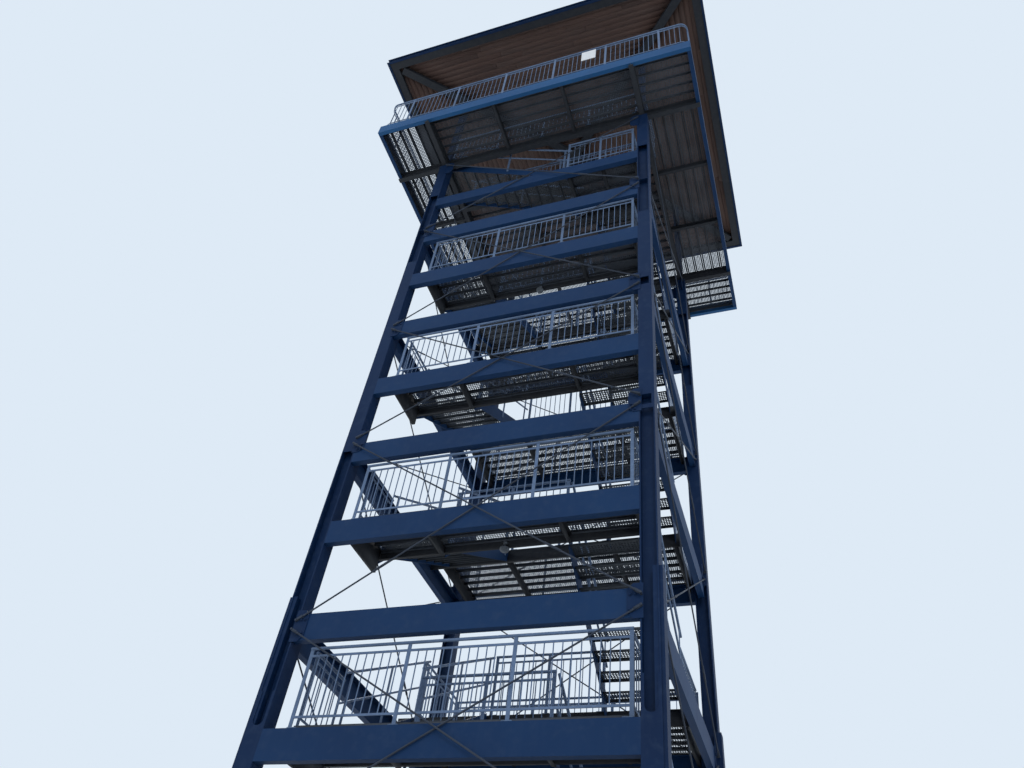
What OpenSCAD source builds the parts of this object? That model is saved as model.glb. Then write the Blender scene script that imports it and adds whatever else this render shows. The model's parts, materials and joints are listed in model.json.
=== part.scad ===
// Fire lookout tower: a steel frame on four legs, an open stair inside it, a deck and a low hipped roof.
// Millimetres. +Z is up, the front is -Y, and the origin is the middle of the plan at the feet.

/* [Tower] */
// Width of the tower over its legs
tower_w = 5300; // [5200:10:5600]
// Depth of the tower over its legs
tower_d = 5190; // [5100:10:5600]
// Number of half storeys from the ground to the last back landing
half_storeys = 11; // [7:2:13]

/* [Legs] */
// Outer size of a leg's H section
leg_size = 240; // [200:5:280]
// Thickness of a leg's two flanges
leg_flange_t = 20; // [12:1:28]
// Thickness of a leg's web
leg_web_t = 14; // [8:1:20]
// Thickness of the plates that close a leg's open sides
cover_t = 12; // [6:1:16]
// Thickness of the doubler on a leg's outer flange
doubler_t = 45; // [15:1:60]
// How far the doubler stays in from the edges of that flange
doubler_inset = 20; // [10:1:40]
// Height of the doubler's top above the back landing six half storeys from the last
doubler_over = 260; // [100:10:500]
// Thickness of the filler beside the outer flange, as high as the doubler
filler_t = 60; // [30:5:80]
// Height of the round-bottomed notch at the top of a leg's lower cover plates
notch_h = 450; // [250:10:600]
// Width of that notch
notch_w = 156; // [120:2:170]
// Depth of the lower end of a leg's upper cover plates below the steel four half storeys from the last
cover_drop = 145; // [100:5:200]
// Height of the lower end of a leg's upper open stretch above the last front landing
open_over = 450; // [300:10:600]
// Height of its upper end above the top landing
open_end_over = 120; // [0:10:300]
// Height of the pockets in the right legs' cover plates where the bracing ends
pocket_h = 210; // [150:10:300]
// Width of those pockets
pocket_w = 150; // [100:5:170]
// Thickness of the stiffeners where the bracing ends above a beam
stiffener_t = 12; // [8:1:20]
// Side of a base plate
base_w = 480; // [440:10:560]
// Thickness of a base plate
base_t = 30; // [20:1:45]
// Distance between the anchor holes of a base plate
anchor_pitch = 380; // [350:5:400]
// Diameter of an anchor hole
anchor_d = 34; // [24:1:44]

/* [Beams] */
// Depth of the floor beams
beam_h = 400; // [300:10:450]
// Width of a floor beam's flanges
beam_flange = 110; // [80:5:130]
// Thickness of a floor beam's web
beam_web_t = 10; // [6:1:16]
// Thickness of a floor beam's flanges
beam_flange_t = 16; // [8:1:24]
// How far the side beams stand in from the legs' outer faces
side_inset = 70; // [40:5:100]
// Depth of the front beam at the top landing
top_beam_h = 320; // [250:10:400]

/* [Bracing] */
// Diameter of a bracing rod
rod_d = 24; // [16:1:32]
// Thickness of a gusset plate
gusset_t = 12; // [8:1:18]
// How far a gusset plate reaches past its leg
gusset_reach = 160; // [120:5:240]
// How far a gusset plate lies over its leg
gusset_lap = 44; // [30:2:60]
// Height of a gusset plate
gusset_h = 480; // [380:10:560]
// Depth of the bracing's ends below the steel of every other back landing
brace_drop = 180; // [120:5:220]
// Height of the bracing's ends above the steel of the last back landing and every other one below it
brace_rise = 45; // [0:5:80]
// Distance between the ends of two rods that meet at a leg
brace_spread = 150; // [80:5:180]
// Height of the bracing's lowest ends above the ground
brace_foot_z = 210; // [150:10:350]
// Depth of the bracing's highest ends below the top of the legs
brace_top_drop = 50; // [30:5:120]
// Diameter of the pins that hold the rods to the gusset plates
pin_d = 32; // [27:1:40]
// Free gap between two rods where they cross
rod_gap = 4; // [2:1:12]

/* [Stair] */
// Height of one riser
riser_h = 178; // [165:1:190]
// Going of one step in the flights between the landings
going = 309; // [290:1:330]
// Going of one step in the last flight up to the deck
top_going = 325; // [300:1:340]
// Width of a flight over its stringers
flight_w = 1200; // [1000:10:1300]
// Width of the last flight over its stringers
top_flight_w = 1020; // [900:10:1030]
// Thickness of a stringer plate
stringer_t = 12; // [8:1:20]
// Height of a stringer above the line of the nosings
stringer_above = 40; // [20:1:60]
// Depth of a stringer below the line of the nosings
stringer_below = 250; // [235:5:300]
// Depth of the last flight's stringers below the line of the nosings
top_stringer_below = 212; // [210:1:240]
// Free gap between one tread and the next
tread_gap = 14; // [4:1:30]
// Height of a tread's folded edge
tread_h = 40; // [30:1:50]

/* [Landings] */
// Depth of the front landings from the tower's front face
front_landing_d = 1017; // [900:10:1150]
// Gap between the front landings and the left legs
front_left_gap = 343; // [300:5:400]
// Gap between the back landings and the left legs
back_left_gap = 202; // [150:5:280]
// Gap between every landing and the right legs
right_gap = 78; // [60:2:120]
// Width of the boxed members round a landing
edge_w = 60; // [50:2:80]
// Depth of the boxed members at a landing's sides
side_edge_h = 250; // [200:10:300]
// Wall of the boxed members
edge_wall = 6; // [4:1:10]
// Depth of the joists under a landing
joist_h = 150; // [120:5:180]
// Width of a joist's flanges
joist_flange = 60; // [40:2:70]
// Thickness of the joists
joist_t = 8; // [5:1:12]
// Gap between the end of a landing's member and the member that it is bolted to
end_gap = 3; // [2:0.5:8]
// Height of the folded floor planks
plank_h = 50; // [40:1:60]
// Thickness of the folded sheet of planks and treads
sheet_t = 4; // [3:0.5:6]
// Widest plank
plank_w = 250; // [200:10:320]
// Gap between two planks
plank_gap = 10; // [4:1:20]

/* [Railings] */
// Height of a landing's railing above its beam
rail_h = 1095; // [1000:5:1200]
// Height of the flights' handrails above the nosings
hand_h = 1000; // [900:5:1100]
// Drop from a flight's handrail to its lower tube
hand_drop = 450; // [350:10:500]
// Diameter of a top tube
tube_d = 42; // [34:1:50]
// Diameter of a flight's lower tube
low_tube_d = 34; // [26:1:40]
// Thickness of posts and balusters
rail_t = 12; // [8:1:16]
// Width of a railing post
post_w = 50; // [40:2:70]
// Largest distance between railing posts
post_pitch = 1500; // [1200:50:1700]
// Distance between balusters
baluster_pitch = 112; // [95:1:150]
// Width of a baluster
baluster_w = 12; // [8:1:16]
// Height of the bottom rail above the beam
bottom_rail_z = 130; // [90:5:170]
// Height of the flat bars that hold the balusters
bar_h = 30; // [20:1:40]
// Gap between the upper flat bar and the top tube
bar_drop = 70; // [40:5:110]

/* [Deck] */
// How far the deck reaches past the legs
deck_reach = 1228; // [1000:10:1400]
// Number of risers from the last back landing to the top landing
top_landing_risers = 8; // [7:1:8]
// Number of risers from the top landing to the deck
deck_risers = 11; // [11:1:12]
// Depth of the deck's main beams
main_beam_h = 300; // [250:10:340]
// Width of the flanges of those beams
main_flange = 110; // [90:5:130]
// Depth of the deck's joists
deck_joist_h = 160; // [120:5:200]
// Width of the joists' flanges
deck_joist_flange = 70; // [50:2:90]
// Distance of the joists from the middle of the deck
deck_joist_x = 885; // [700:5:1100]
// Gap between the last flight and the main beam in front of it
top_flight_gap = 90; // [60:5:110]
// Depth of the channel round the deck
fascia_h = 337; // [300:5:360]
// Height of that channel above the deck's floor
toe_h = 75; // [50:5:110]
// Width of the flanges of the channel round the deck
fascia_flange = 90; // [70:5:110]
// Height of the deck railing above the deck's edge channel
deck_rail_h = 1220; // [1050:5:1300]
// Radius of the railing's bends at the deck's corners
corner_r = 160; // [110:10:220]
// Distance of the deck railing's last posts from those bends
deck_post_in = 466; // [300:2:600]
// Distance of the stairwell's railings from the stairwell's edges
stairwell_rail_in = 40; // [30:2:60]
// Width of the blank board on the front railing
board_w = 350; // [250:10:600]
// Height of the blank board
board_h = 480; // [200:10:600]
// Thickness of the blank board
board_plate_t = 6; // [3:1:12]
// Distance of the board's left edge from the middle of the railing
board_x = 1320; // [900:10:2000]
// Gap between the top tube and the board
board_drop = 50; // [30:5:100]

/* [Roof] */
// How far the roof reaches past the legs
roof_reach = 1652; // [1400:10:1900]
// Height of the roof's edge above the deck's floor
eave_h = 3496; // [3000:10:3800]
// Depth of the roof's edge channel
roof_edge_h = 200; // [160:5:240]
// Width of that channel's two outer lips
roof_lip = 60; // [40:5:80]
// Thickness of that channel's web
roof_edge_t = 6; // [4:1:10]
// Thickness of that channel's lips
roof_lip_t = 8; // [5:1:12]
// Depth of the soffit's edge below the top of that channel
soffit_drop = 60; // [40:5:120]
// Rise of the roof for each millimetre of run
roof_slope = 0.058; // [0.03:0.001:0.12]
// Width of the eave and hip beams
roof_beam_w = 200; // [140:5:240]
// Depth of the eave and hip beams
roof_beam_h = 120; // [90:5:160]
// Diameter of the boss that joins the hip beams
boss_d = 380; // [330:10:460]
// Height of that boss
boss_h = 124; // [90:2:160]
// Thickness of the soffit boards
board_t = 28; // [18:1:40]
// Thickness of the roof covering over the boards
cover_sheet_t = 30; // [15:1:50]
// Side of a roof post
roof_post_w = 150; // [120:5:180]
// Wall of a roof post
roof_post_wall = 8; // [5:1:12]

/* [Hidden] */
$fn = 32;
half_storey_risers = 9;
half_storey_h = half_storey_risers * riser_h;
front_y = -tower_d / 2;
back_y = tower_d / 2;
inner_x = tower_w / 2 - leg_size;
inner_y = tower_d / 2 - leg_size;
leg_x = tower_w / 2 - leg_size / 2;
leg_y = tower_d / 2 - leg_size / 2;
ring_x = tower_w / 2 - side_inset;

// Plan of the stair
run = (half_storey_risers - 1) * going;
well_front = front_y + front_landing_d;
well_back = well_front + run;
landing_right = inner_x - right_gap;
front_left = -inner_x + front_left_gap;
back_left = -inner_x + back_left_gap;
stair_left = front_left;
stair_right = landing_right - flight_w;
well_left = stair_left + flight_w;

// Heights
top_landing_z = floor_z(half_storeys) + top_landing_risers * riser_h;
deck_z = top_landing_z + deck_risers * riser_h;
deck_steel_z = deck_z - plank_h;
leg_top = deck_steel_z - main_beam_h;
fascia_top = deck_z + toe_h;
eave_z = deck_z + eave_h;

// Top landing and last flight
top_back = well_back - (top_landing_risers - 1) * going;
top_run = (deck_risers - 1) * top_going;
deck_arrival = -leg_x + main_flange / 2;
top_left = deck_arrival + top_run;
top_flight_y = -leg_y + main_flange / 2 + top_flight_gap;

// Deck and roof half sizes
deck_x = tower_w / 2 + deck_reach;
deck_y = tower_d / 2 + deck_reach;
roof_x = tower_w / 2 + roof_reach;
roof_y = tower_d / 2 + roof_reach;
soffit_z = eave_z - soffit_drop;
roof_inner_x = roof_x - roof_lip;
roof_inner_y = roof_y - roof_lip;
soffit_rise = roof_slope * roof_inner_x;

// Clearances and small shares
fit = 2;
rail_line = 36;
deck_rail_line = 40;
bend_step = 4;
bend_lap = 2;
bend_bar_t = rail_t - bend_step;
stringer_foot_share = 0.8;
stringer_seat_share = 0.9;

// Colours
navy = [0.16, 0.27, 0.50];
blue = [0.25, 0.42, 0.68];
galvanised = [0.62, 0.66, 0.70];
dark_steel = [0.24, 0.24, 0.27];
timber = [0.45, 0.30, 0.18];

// Height of the floor of landing n, counted from the ground in half storeys
function floor_z(n) = n * half_storey_h;
// Height of the steel that carries the planks there
function steel_z(n) = floor_z(n) - plank_h;
// Height at which the bracing meets a leg at level n
function brace_z(n) = n > half_storeys ? leg_top - brace_top_drop
    : n == 0 ? brace_foot_z
    : steel_z(n) + ((half_storeys - n) % 4 == 0 ? brace_rise : -brace_drop);
// Levels from a to b in steps of two
function levels(a, b) = [for (n = [a:2:b]) n];
// Half storeys of the front landings, and of the back landings
front_levels = levels(2, half_storeys - 1);
back_levels = levels(1, half_storeys);

// Sections and carriers

// Outline of a channel with its web along the left side and its flanges to the right
module channel_outline(h, flange, web_t, flange_t) {
    polygon([
        [0, 0], [flange, 0], [flange, flange_t], [web_t, flange_t],
        [web_t, h - flange_t], [flange, h - flange_t], [flange, h], [0, h]
    ]);
}

// Carries its outline along +X: the outline's width points to +Y, its height to +Z
module along_x(length) {
    rotate([90, 0, 90]) linear_extrude(length) children();
}

// Carries its outline along +Y: the outline's width points to +X, its height to +Z
module along_y(length) {
    translate([0, length, 0]) rotate([90, 0, 0]) linear_extrude(length) children();
}

// Channel along X from x0 to x1 with its web's face at y, its top at z and its flanges towards side
module channel_x(
    x0, x1, y, z, h, side, flange = beam_flange, web_t = beam_web_t, flange_t = beam_flange_t
) {
    translate([x0, y, z - h]) mirror([0, side < 0 ? 1 : 0, 0])
        along_x(x1 - x0) channel_outline(h, flange, web_t, flange_t);
}

// Channel along Y from y0 to y1 with its web's face at x, its top at z and its flanges towards side
module channel_y(
    y0, y1, x, z, h, side, flange = beam_flange, web_t = beam_web_t, flange_t = beam_flange_t
) {
    translate([x, y0, z - h]) mirror([side < 0 ? 1 : 0, 0, 0])
        along_y(y1 - y0) channel_outline(h, flange, web_t, flange_t);
}

// Outline of a beam with two flanges on both sides of its web
module i_outline(h, flange, web_t, flange_t) {
    side = (flange - web_t) / 2;
    polygon([
        [0, 0], [flange, 0], [flange, flange_t], [flange - side, flange_t],
        [flange - side, h - flange_t], [flange, h - flange_t], [flange, h], [0, h],
        [0, h - flange_t], [side, h - flange_t], [side, flange_t], [0, flange_t]
    ]);
}

// Outline of a boxed member
module box_outline(w, h, wall) {
    polygon(
        [
            [0, 0], [w, 0], [w, h], [0, h],
            [wall, wall], [w - wall, wall], [w - wall, h - wall], [wall, h - wall]
        ],
        [[0, 1, 2, 3], [4, 5, 6, 7]]
    );
}

// Outline of a folded plank or tread, open below
module fold_outline(w, h) {
    polygon([
        [0, 0], [sheet_t, 0], [sheet_t, h - sheet_t], [w - sheet_t, h - sheet_t],
        [w - sheet_t, 0], [w, 0], [w, h], [0, h]
    ]);
}

// Planks parallel to X that fill a rectangle, as wide as they may be
module planks_along_x(x0, x1, y0, y1, z) {
    count = ceil((y1 - y0 + plank_gap) / (plank_w + plank_gap));
    pitch = (y1 - y0 + plank_gap) / count;
    for (i = [0:count - 1])
        translate([x0, y0 + i * pitch, z - plank_h])
            along_x(x1 - x0) fold_outline(pitch - plank_gap, plank_h);
}

// Planks parallel to Y that fill a rectangle
module planks_along_y(x0, x1, y0, y1, z) {
    count = ceil((x1 - x0 + plank_gap) / (plank_w + plank_gap));
    pitch = (x1 - x0 + plank_gap) / count;
    for (i = [0:count - 1])
        translate([x0 + i * pitch, y0, z - plank_h])
            along_y(y1 - y0) fold_outline(pitch - plank_gap, plank_h);
}

// Legs

module base_plates() {
    color(navy) for (sx = [-1, 1], sy = [-1, 1]) translate([sx * leg_x, sy * leg_y, 0]) difference() {
        translate([-base_w / 2, -base_w / 2, 0]) cube([base_w, base_w, base_t]);
        for (hx = [-1, 1], hy = [-1, 1])
            translate([hx * anchor_pitch / 2, hy * anchor_pitch / 2, -1])
                cylinder(h = base_t + 2, d = anchor_d);
    }
}

// Plate that closes one open side of a leg between two heights. side is the face's direction along Y.
// It has a pocket at each of the heights given
module cover_plate(z0, z1, side, pockets = []) {
    w = leg_size - 2 * leg_flange_t;
    face_y = side > 0 ? leg_size / 2 - cover_t : -leg_size / 2;
    difference() {
        translate([-w / 2, face_y, z0]) cube([w, cover_t, z1 - z0]);
        for (z = pockets)
            translate([-pocket_w / 2, face_y - 1, z - pocket_h / 2]) cube([pocket_w, cover_t + 2, pocket_h]);
    }
}

// Cover plate that ends above in a notch with a round bottom
module notched_plate(z0, z1, side) {
    bottom = z1 - notch_h + notch_w / 2;
    face_y = side > 0 ? leg_size / 2 - cover_t : -leg_size / 2;
    difference() {
        cover_plate(z0, z1, side);
        translate([-notch_w / 2, face_y - 1, bottom]) cube([notch_w, cover_t + 2, notch_h]);
        translate([0, face_y - 1, bottom]) rotate([-90, 0, 0]) cylinder(h = cover_t + 2, d = notch_w);
    }
}

// A leg in its own place: sx and sy say which corner of the plan it stands on
module leg(sx, sy) {
    closed_low = floor_z(half_storeys - 7) + notch_h;
    open_low_end = steel_z(half_storeys - 4) - cover_drop;
    open_high = floor_z(half_storeys - 1) + open_over;
    open_high_end = top_landing_z + open_end_over;
    doubler_top = floor_z(half_storeys - 6) + doubler_over;
    pockets = sx > 0 ? [for (n = [half_storeys - 4, half_storeys - 2]) brace_z(n)] : [];
    recess_d = (leg_size - leg_web_t) / 2 - cover_t;
    color(navy) translate([sx * leg_x, sy * leg_y, 0]) mirror([sx < 0 ? 1 : 0, 0, 0]) {
        for (x = [-leg_size / 2, leg_size / 2 - leg_flange_t])
            translate([x, -leg_size / 2, base_t]) cube([leg_flange_t, leg_size, leg_top - base_t]);
        translate([-leg_size / 2 + leg_flange_t, -leg_web_t / 2, base_t])
            cube([leg_size - 2 * leg_flange_t, leg_web_t, leg_top - base_t]);
        translate([leg_size / 2, -leg_size / 2 + doubler_inset, base_t])
            cube([doubler_t, leg_size - 2 * doubler_inset, doubler_top - base_t]);
        translate([leg_size / 2 - leg_flange_t - filler_t, -leg_web_t / 2 - recess_d, base_t])
            cube([filler_t, leg_web_t + 2 * recess_d, doubler_top - base_t]);
        for (side = [-1, 1]) {
            notched_plate(base_t, closed_low, side);
            cover_plate(open_low_end, open_high, side, side == sy ? pockets : []);
            cover_plate(open_high_end, leg_top, side);
        }
        for (n = [half_storeys - 4, half_storeys])
            translate([
                -leg_size / 2 + leg_flange_t, -leg_web_t / 2 - recess_d,
                brace_z(n) + pocket_h / 2
            ])
                cube([leg_size - 2 * leg_flange_t, leg_web_t + 2 * recess_d, stiffener_t]);
        for (n = [half_storeys - 6, half_storeys])
            cover_plate(steel_z(n) - beam_h, steel_z(n), -sy);
    }
}

// Floor beams

module front_beams() {
    color(blue) {
        for (n = [2:half_storeys]) channel_x(-inner_x, inner_x, front_y, steel_z(n), beam_h, 1);
        channel_x(-inner_x, inner_x, front_y, top_landing_z - plank_h, top_beam_h, 1);
    }
}

module back_beams() {
    color(blue) for (n = back_levels) channel_x(-inner_x, inner_x, back_y, steel_z(n), beam_h, -1);
}

// Ring beams on one side of the tower: side is -1 on the left and 1 on the right
module side_beams(side) {
    color(blue) for (n = back_levels) channel_y(-inner_y, inner_y, side * ring_x, steel_z(n), beam_h, -side);
}

// Bracing

// Rod from one point to another, both in the XZ plane
module rod(x0, z0, x1, z1) {
    length = sqrt((x1 - x0) * (x1 - x0) + (z1 - z0) * (z1 - z0));
    translate([x0, 0, z0]) rotate([0, atan2(x1 - x0, z1 - z0), 0]) cylinder(h = length, d = rod_d);
}

// Rod in front of the gusset plates' faces at y = 0, its middle at a distance, with a pin at both ends
module pinned_rod(x0, z0, x1, z1, distance) {
    translate([0, -distance, 0]) rod(x0, z0, x1, z1);
    for (end = [[x0, z0], [x1, z1]])
        translate([end[0], 0, end[1]]) rotate([90, 0, 0]) cylinder(h = distance + rod_d, d = pin_d);
}

// Crossed rods between the levels of a list, drawn in the XZ plane with the outside towards -Y
module crossed_rods(half_span, levels_list) {
    near = rod_d / 2 + fit;
    far = near + rod_d + rod_gap;
    for (i = [0:len(levels_list) - 2]) {
        z0 = brace_z(levels_list[i]) + brace_spread / 2;
        z1 = brace_z(levels_list[i + 1]) - brace_spread / 2;
        translate([0, -gusset_t, 0]) {
            pinned_rod(-half_span, z0, half_span, z1, near);
            pinned_rod(half_span, z0, -half_span, z1, far);
        }
    }
}

front_brace_levels = concat(levels(3, half_storeys), [half_storeys + 1]);
brace_levels = concat([0], back_levels, [half_storeys + 1]);
brace_half_w = inner_x + gusset_lap / 2;
brace_half_d = inner_y - gusset_reach / 4;

module front_bracing() {
    color(galvanised) translate([0, front_y, 0]) crossed_rods(brace_half_w, front_brace_levels);
}

module back_bracing() {
    color(galvanised) translate([0, back_y, 0]) rotate([0, 0, 180])
        crossed_rods(brace_half_w, brace_levels);
}

module side_bracing(side) {
    color(galvanised) translate([side * ring_x, 0, 0]) rotate([0, 0, side * 90])
        crossed_rods(brace_half_d, brace_levels);
}

// Height of the middle of a gusset plate at level n
function gusset_z(n) = n > half_storeys ? leg_top - gusset_h / 2
    : n == 0 ? base_t + gusset_h / 2
    : brace_z(n);

// Outline of a gusset plate with clipped inner corners, from x = 0 outwards
module gusset_outline(w) {
    clip = gusset_reach / 2;
    polygon([
        [0, -gusset_h / 2], [w - clip, -gusset_h / 2], [w, -gusset_h / 2 + clip],
        [w, gusset_h / 2 - clip], [w - clip, gusset_h / 2], [0, gusset_h / 2]
    ]);
}

module gusset_plates() {
    color(navy) {
        for (sx = [-1, 1]) {
            for (n = front_brace_levels) gusset_on_face(sx, -1, n);
            for (n = brace_levels) gusset_on_face(sx, 1, n);
            for (sy = [-1, 1], n = brace_levels) gusset_on_side(sx, sy, n);
        }
    }
}

// Gusset plate on the front or back face, beside a leg and a little over it
module gusset_on_face(sx, sy, n) {
    y = sy < 0 ? front_y : back_y + gusset_t;
    translate([sx * (inner_x + gusset_lap), y, gusset_z(n)]) mirror([sx > 0 ? 1 : 0, 0, 0])
        rotate([90, 0, 0]) linear_extrude(gusset_t) gusset_outline(gusset_lap + gusset_reach);
}

// Gusset plate beside a leg, in the plane of the side beams' outer faces
module gusset_on_side(sx, sy, n) {
    x = sx > 0 ? ring_x : -ring_x - gusset_t;
    translate([x, sy * inner_y, gusset_z(n)]) mirror([0, sy > 0 ? 1 : 0, 0])
        rotate([90, 0, 90]) linear_extrude(gusset_t) gusset_outline(gusset_reach);
}

// Landings

// Boxed member along X
module box_x(x0, x1, y0, z_top, h) {
    translate([x0, y0, z_top - h]) along_x(x1 - x0) box_outline(edge_w, h, edge_wall);
}

// Boxed member along Y
module box_y(y0, y1, x0, z_top, h) {
    translate([x0, y0, z_top - h]) along_y(y1 - y0) box_outline(edge_w, h, edge_wall);
}

// Joist under a landing from y0 to y1, below its planks
module landing_joist(y0, y1, x, z, side) {
    channel_y(y0, y1, x, z - plank_h, joist_h, side, joist_flange, joist_t, joist_t);
}

module front_landing_frames() {
    y0 = front_y + beam_flange;
    y1 = well_front - edge_w;
    color(dark_steel) for (n = front_levels) {
        z = floor_z(n);
        box_x(front_left, landing_right, y1, z, beam_h);
        box_y(y0, y1 - end_gap, front_left, z, side_edge_h);
        box_y(y0, y1 - end_gap, landing_right - edge_w, z, side_edge_h);
        landing_joist(y0, y1 - end_gap, well_left, z, -1);
        landing_joist(y0, y1 - end_gap, stair_right, z, 1);
    }
}

module front_landing_planks() {
    color(galvanised) for (n = front_levels)
        planks_along_x(
            front_left + edge_w, landing_right - edge_w,
            front_y + beam_flange / 2, well_front - edge_w, floor_z(n)
        );
}

module back_landing_frames() {
    y0 = well_back + edge_w;
    y1 = back_y - beam_flange;
    color(dark_steel) for (n = back_levels) {
        z = floor_z(n);
        box_x(-ring_x + beam_flange, ring_x - beam_flange, well_back, z, beam_h);
        box_y(y0 + end_gap, y1, back_left, z, side_edge_h);
        box_y(y0 + end_gap, y1, landing_right - edge_w, z, side_edge_h);
        landing_joist(y0 + end_gap, y1, well_left, z, -1);
        landing_joist(y0 + end_gap, y1, stair_right, z, 1);
    }
}

module back_landing_planks() {
    color(galvanised) for (n = back_levels)
        planks_along_x(
            back_left + edge_w, landing_right - edge_w,
            well_back + edge_w, back_y - beam_flange / 2, floor_z(n)
        );
}

// The top landing, with its planks, at the foot of the last flight
module top_landing() {
    y0 = front_y + beam_flange;
    y1 = top_back - edge_w;
    color(dark_steel) {
        box_x(top_left, landing_right, y1, top_landing_z, beam_h);
        box_y(y0, y1 - end_gap, top_left, top_landing_z, side_edge_h);
        box_y(y0, y1 - end_gap, landing_right - edge_w, top_landing_z, side_edge_h);
        landing_joist(y0, y1 - end_gap, (top_left + landing_right) / 2, top_landing_z - fit, 1);
    }
    color(galvanised) planks_along_x(
        top_left + edge_w + fit, landing_right - edge_w - fit,
        front_y + beam_flange / 2, y1 - fit, top_landing_z
    );
}

// Flights. A flight is drawn with its width along +X and rises along +Y from the origin

// Height of the line of the nosings
function nosing_z(y, step) = riser_h * (1 + y / step);

// Side view of a stringer for a flight of so many risers. On the ground its foot is cut level
module stringer_outline(risers, step, below, on_ground) {
    length = (risers - 1) * step;
    foot_y = (below - riser_h) * step / riser_h;
    seat_y = step * stringer_seat_share;
    lower_start = on_ground
        ? [[0, 0], [foot_y, 0]]
        : [[0, -below * stringer_foot_share], [seat_y, nosing_z(seat_y, step) - below]];
    polygon(concat(lower_start, [
        [length, nosing_z(length, step) - below],
        [length, nosing_z(length, step) + stringer_above],
        [0, nosing_z(0, step) + stringer_above]
    ]));
}

module stringers(risers, step, w, below, on_ground = false) {
    for (x = [0, w - stringer_t])
        translate([x, 0, 0]) rotate([90, 0, 90]) linear_extrude(stringer_t)
            stringer_outline(risers, step, below, on_ground);
}

module treads(risers, step, w) {
    for (i = [1:risers - 1])
        translate([stringer_t, (i - 1) * step, i * riser_h - tread_h])
            along_x(w - 2 * stringer_t) fold_outline(step - tread_gap, tread_h);
}

// Two sloping tubes and their posts on the outer face of each stringer
module handrails(risers, step, w, below) {
    length = (risers - 1) * step;
    slope = atan2(riser_h, step);
    for (x = [-rail_t, w]) {
        for (y = [step / 2, length / 2, length - step / 2])
            translate([x, y - post_w / 2, nosing_z(y, step) - below / 2])
                cube([rail_t, post_w, below / 2 + hand_h]);
        sloping_tube(x + rail_t / 2, length, slope, nosing_z(0, step) + hand_h, tube_d);
        sloping_tube(x + rail_t / 2, length, slope, nosing_z(0, step) + hand_h - hand_drop, low_tube_d);
    }
}

module sloping_tube(x, length, slope, z, d) {
    translate([x, 0, z]) rotate([slope - 90, 0, 0]) cylinder(h = length / cos(slope), d = d);
}

// Places a flight that leaves level n: from the front on the left, or from the back on the right
module place_flight(n) {
    if (n % 2 == 0) translate([stair_left, well_front, floor_z(n)]) children();
    else translate([stair_right, well_back, floor_z(n)]) mirror([0, 1, 0]) children();
}

// Number of risers in the flight that leaves level n
function flight_risers(n) = n == half_storeys ? top_landing_risers : half_storey_risers;

// The last flight rises to the left, just behind the deck's front main beam
module place_top_flight() {
    translate([top_left, top_flight_y, top_landing_z]) rotate([0, 0, 90]) children();
}

module stair_stringers() {
    color(blue) {
        for (n = [0:half_storeys])
            place_flight(n) stringers(flight_risers(n), going, flight_w, stringer_below, n == 0);
        place_top_flight() stringers(deck_risers, top_going, top_flight_w, top_stringer_below);
    }
}

module stair_treads() {
    color(galvanised) {
        for (n = [0:half_storeys]) place_flight(n) treads(flight_risers(n), going, flight_w);
        place_top_flight() treads(deck_risers, top_going, top_flight_w);
    }
}

module stair_handrails() {
    color(galvanised) {
        for (n = [0:half_storeys])
            place_flight(n) handrails(flight_risers(n), going, flight_w, stringer_below);
        place_top_flight() handrails(deck_risers, top_going, top_flight_w, top_stringer_below);
    }
}

// Railings

// Height of the flat bar that the balusters end in, below the top tube
function top_bar_z(h) = h - tube_d - bar_drop - bar_h;

// Front view of a straight railing: posts from the base to the top tube, and balusters between two bars.
// The bars and balusters reach past the last posts by the length past
module railing_outline(length, h, past) {
    between = length - 2 * past - post_w;
    bays = max(1, ceil(between / post_pitch));
    bay = between / bays;
    posts = [for (i = [0:bays]) past + i * bay];
    low_bar = bottom_rail_z + bar_h;
    top_bar = top_bar_z(h);
    post_top = h - tube_d / 2;
    gaps = max(1, round((bay - post_w) / baluster_pitch));
    gap_pitch = (bay - post_w + baluster_w) / gaps;
    past_gaps = past > 0 ? max(1, round(past / baluster_pitch)) : 0;
    past_pitch = past / max(1, past_gaps);
    top = top_bar + bar_h;
    outer = concat(
        [[past, 0]],
        past > 0 ? [[past, bottom_rail_z], [0, bottom_rail_z], [0, top], [past, top]] : [],
        [[past, post_top], [past + post_w, post_top]],
        [for (i = [1:bays]) each [
            [posts[i - 1] + post_w, top], [posts[i], top],
            [posts[i], post_top], [posts[i] + post_w, post_top]
        ]],
        past > 0 ? [
            [length - past, top], [length, top], [length, bottom_rail_z], [length - past, bottom_rail_z]
        ] : [],
        [[length - past, 0]],
        [for (i = [bays:-1:1]) each [
            [posts[i], 0], [posts[i], bottom_rail_z],
            [posts[i - 1] + post_w, bottom_rail_z], [posts[i - 1] + post_w, 0]
        ]]
    );
    spans = concat(
        [for (i = [0:bays - 1], g = [0:gaps - 1])
            let (x = posts[i] + post_w + g * gap_pitch) [x, x + gap_pitch - baluster_w]],
        [for (g = [1:1:past_gaps]) [(g - 1) * past_pitch + baluster_w, g * past_pitch]],
        [for (g = [1:1:past_gaps]) [length - g * past_pitch, length - (g - 1) * past_pitch - baluster_w]]
    );
    holes = [for (x = spans) [[x[0], low_bar], [x[1], low_bar], [x[1], top_bar], [x[0], top_bar]]];
    polygon(
        concat(outer, [for (hole = holes) each hole]),
        concat(
            [[for (i = [0:len(outer) - 1]) i]],
            [for (k = [0:len(holes) - 1]) [for (j = [0:3]) len(outer) + 4 * k + j]]
        )
    );
}

// Straight railing along +X with its middle plane at y = 0
module railing(length, h, past = 0) {
    translate([0, rail_t / 2, 0]) rotate([90, 0, 0]) linear_extrude(rail_t)
        railing_outline(length, h, past);
    translate([0, 0, h - tube_d / 2]) rotate([0, 90, 0]) cylinder(h = length, d = tube_d);
}

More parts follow.
